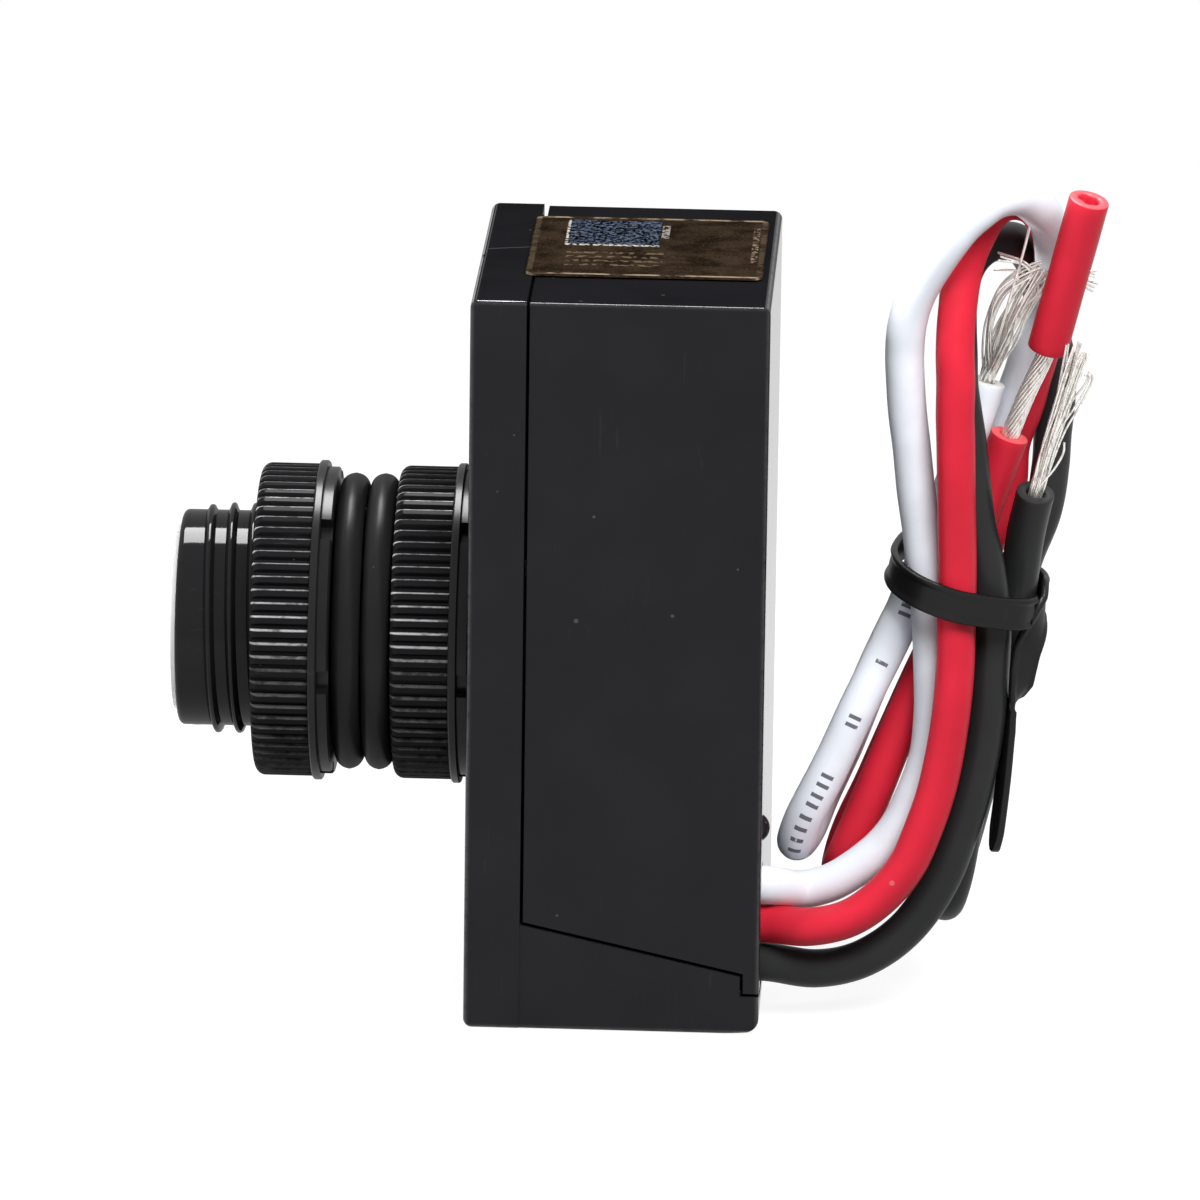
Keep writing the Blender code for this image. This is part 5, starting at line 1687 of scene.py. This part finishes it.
class PHOTOCELL_OT_inside(bpy.types.Operator):
    """Finishes of the parts inside the housing"""
    bl_idname = "photocell.inside"
    bl_label = "Inside parts"

    def execute(self, context):
        rows = (
            ("board_laminate", (0.30, 0.18, 0.07), (0.45, 0.60), 0.4,
             ("circuit_board",)),
            ("black_moulding", (0.016, 0.016, 0.018), (0.35, 0.50), 0.5,
             ("sensor_holder", "electrolytic_capacitor",
              "bridge_rectifier", "lead_block")),
            ("blue_case", (0.015, 0.075, 0.26), (0.30, 0.42), 0.5,
             ("relay", "varistor")),
            ("yellow_case", (0.56, 0.36, 0.05), (0.30, 0.42), 0.5,
             ("film_capacitor",)),
            ("resistor_ceramic", (0.62, 0.60, 0.52), (0.60, 0.75), 0.4,
             ("power_resistor",)))
        for name, colour, rough, specular, nodes in rows:
            light = [min(1.0, c * 1.5 + 0.02) for c in colour]
            material = moulded(name, colour, rough=rough, scale=3000.0,
                               specular=specular, light=light, scratch=0.2,
                               dust=0.1)
            for node in nodes:
                dress(node, material)
        dress("sensor_cell", cell_face("cell_ceramic"))
        return {"FINISHED"}


# camera of the photograph, in degrees and metres
CAMERA_TURN = 2.2802
CAMERA_RISE = 15.5875
CAMERA_ROLL = 0.7793
CAMERA_TARGET = (0.008864, 0.0, 0.027286)


# the floor's paper: what it throws back, and the white it shows
PAPER_DARK = (0.21, 0.21, 0.21)
PAPER_LIGHT = (0.23, 0.23, 0.23)
PAPER_WHITE = 0.88
# name, setting, place, width and height of each lamp.  The card shows only
# in glossy surfaces, as their bright line, and the others in none.  The side
# lamp stands on the snout's side, for the lens's bright rim.
STAGE_MIDDLE = (0.004, 0.0, 0.030)
LAMPS = (("top_lamp", "top_power", (-0.03, 0.20, 0.60), 0.36, 0.30),
         ("front_lamp", "front_power", (0.10, -0.21, 0.27), 0.18, 0.14),
         ("gloss_card", "card_power", (-0.03, 0.25, 0.58), 0.30, 0.26),
         ("side_lamp", "side_power", (-0.30, -0.06, 0.12), 0.12, 0.12))


def sky(strength):
    """Even light from all round; white where it is seen directly."""
    world = bpy.data.worlds.new("studio")
    bpy.context.scene.world = world
    world.use_nodes = True
    tree = world.node_tree
    tree.nodes.clear()
    path = add(tree, "LightPath").outputs
    seen = maths(tree, "MAXIMUM", path["Is Camera Ray"], maths(
        tree, "MAXIMUM", path["Is Glossy Ray"],
        path["Is Transmission Ray"]))
    even = add(tree, "Background", {"Color": (1.0, 1.0, 1.0, 1.0),
                                    "Strength": strength})
    white = add(tree, "Background", {"Color": (1.0, 1.0, 1.0, 1.0),
                                     "Strength": 1.0})
    mix = add(tree, "MixShader", {0: seen, 1: even.outputs[0],
                                  2: white.outputs[0]})
    out = add(tree, "OutputWorld")
    tree.links.new(mix.outputs[0], out.inputs[0])


def lamp(name, place, target, width, height, power):
    """A soft lamp that faces a point."""
    light = bpy.data.lights.new(name, "AREA")
    light.shape, light.size, light.size_y = "RECTANGLE", width, height
    light.energy = power
    holder = bpy.data.objects.new(name, light)
    holder.location = place
    holder.rotation_euler = (Vector(target) - Vector(place)).to_track_quat(
        "-Z", "Y").to_euler()
    bpy.context.scene.collection.objects.link(holder)
    return holder


def floor_piece(reach):
    """Floor: a disc whose colour fades into the white surroundings.

    Point = radius (cos a, sin a) on a grid of radii and angles."""
    radius = np.linspace(0.0, 1.0, 24)[1:, None] ** 1.5 * reach * 1.6
    angle = np.linspace(0, TURN, 96, endpoint=False)[None]
    x, y = radius * np.cos(angle), radius * np.sin(angle)
    points = np.stack([x, y, x * 0 - 0.00002], -1).reshape(-1, 3)
    rows, cols = x.shape
    index = np.arange(rows * cols).reshape(rows, cols)
    index = np.concatenate([index, index[:, :1]], 1)
    quads = np.stack([index[:-1, :-1], index[1:, :-1], index[1:, 1:],
                      index[:-1, 1:]], 2).reshape(-1, 4)
    mesh = bpy.data.meshes.new("floor")
    mesh.from_pydata(points.tolist(), [],
                     quads.tolist() + [index[0, :-1].tolist()])
    piece = bpy.data.objects.new("floor", mesh)
    bpy.context.scene.collection.objects.link(piece)
    material, tree, shader, coords = start_material("floor_paper")
    place = coords["Object"]
    run = add(tree, "VectorMath", {0: place}, operation="LENGTH").outputs[1]
    tint_ = noise(tree, place, 40.0, 2.0)
    tree.links.new(blend(tree, tint_, rgba(PAPER_DARK), rgba(PAPER_LIGHT)),
                   shader.inputs["Base Color"])
    # the paper's own white, which lights nothing: seen directly and in
    # glossy surfaces only
    shader.inputs["Emission Color"].default_value = (1, 1, 1, 1)
    path = add(tree, "LightPath").outputs
    tree.links.new(times(tree, maths(
        tree, "MAXIMUM", path["Is Camera Ray"], path["Is Glossy Ray"]),
        PAPER_WHITE), shader.inputs["Emission Strength"])
    tree.links.new(fade(tree, run, reach * 0.25, reach * 0.9, 1.0, 0.0),
                   shader.inputs["Alpha"])
    set_plain(shader, roughness=0.8, specular=0.0)
    mesh.materials.append(material)
    return piece


def photo_camera(lens, distance):
    """Camera of the photograph, turned, raised and rolled."""
    turn, rise, roll = (math.radians(a) for a in (
        CAMERA_TURN, CAMERA_RISE, CAMERA_ROLL))
    view = Vector((-math.sin(turn) * math.cos(rise),
                   math.cos(turn) * math.cos(rise), -math.sin(rise)))
    right = Vector((math.cos(turn), math.sin(turn), 0.0))
    up = right.cross(view)
    lean = right * math.cos(roll) + up * math.sin(roll)
    upright = up * math.cos(roll) - right * math.sin(roll)
    data = bpy.data.cameras.new("photo_camera")
    data.sensor_fit, data.sensor_width = "HORIZONTAL", 36.0
    data.lens = lens
    data.clip_start, data.clip_end = 0.02, 20.0
    camera = bpy.data.objects.new("photo_camera", data)
    place = Matrix((lean, upright, -view)).transposed().to_4x4()
    place.translation = Vector(CAMERA_TARGET) - view * distance
    camera.matrix_world = place
    bpy.context.scene.collection.objects.link(camera)
    bpy.context.scene.camera = camera


class PHOTOCELL_OT_stage(bpy.types.Operator):
    """Floor, lamps, sky and camera"""
    bl_idname = "photocell.stage"
    bl_label = "Stage"

    def execute(self, context):
        given = settings("stage")
        floor_piece(given.floor_reach)
        sky(given.sky)
        for name, power, place, width, height in LAMPS:
            light = lamp(name, place, STAGE_MIDDLE, width, height,
                         getattr(given, power))
            light.visible_glossy = name == "gloss_card"
            light.visible_diffuse = name != "gloss_card"
        photo_camera(given.lens, given.distance)
        bpy.context.scene.view_settings.view_transform = "Standard"
        return {"FINISHED"}


OPERATORS = (
    PHOTOCELL_OT_wires, PHOTOCELL_OT_tie, PHOTOCELL_OT_leads,
    PHOTOCELL_OT_nuts, PHOTOCELL_OT_rings, PHOTOCELL_OT_housing,
    PHOTOCELL_OT_lens, PHOTOCELL_OT_label, PHOTOCELL_OT_inside,
    PHOTOCELL_OT_stage)


class PHOTOCELL_PT_panel(bpy.types.Panel):
    """Builds the photocell switch piece by piece"""
    bl_idname = "PHOTOCELL_PT_panel"
    bl_label = "Photocell switch"
    bl_space_type = "VIEW_3D"
    bl_region_type = "UI"
    bl_category = "Photocell"

    def draw(self, context):
        for group in SETTINGS:
            box = self.layout.box()
            box.label(text=group.capitalize())
            for key in settings(group).__annotations__:
                box.prop(settings(group), key)
        for operator in OPERATORS:
            self.layout.operator(operator.bl_idname)


SETTINGS = {"housing": HousingSettings, "snout": SnoutSettings,
            "nuts": NutSettings, "leads": LeadSettings,
            "stage": StageSettings}


def register():
    for name, group in SETTINGS.items():
        bpy.utils.register_class(group)
        setattr(bpy.types.Scene, "photocell_" + name,
                bpy.props.PointerProperty(type=group))
    for operator in OPERATORS:
        bpy.utils.register_class(operator)
    bpy.utils.register_class(PHOTOCELL_PT_panel)


def unregister():
    bpy.utils.unregister_class(PHOTOCELL_PT_panel)
    for operator in reversed(OPERATORS):
        bpy.utils.unregister_class(operator)
    for name, group in reversed(SETTINGS.items()):
        delattr(bpy.types.Scene, "photocell_" + name)
        bpy.utils.unregister_class(group)


def main():
    """Register, and build every piece in order."""
    register()
    for operator in OPERATORS:
        group, call = operator.bl_idname.split(".")
        if getattr(getattr(bpy.ops, group), call)() != {"FINISHED"}:
            raise RuntimeError(operator.bl_label + " didn't finish")
    bpy.context.view_layer.update()


if __name__ == "__main__":
    main()
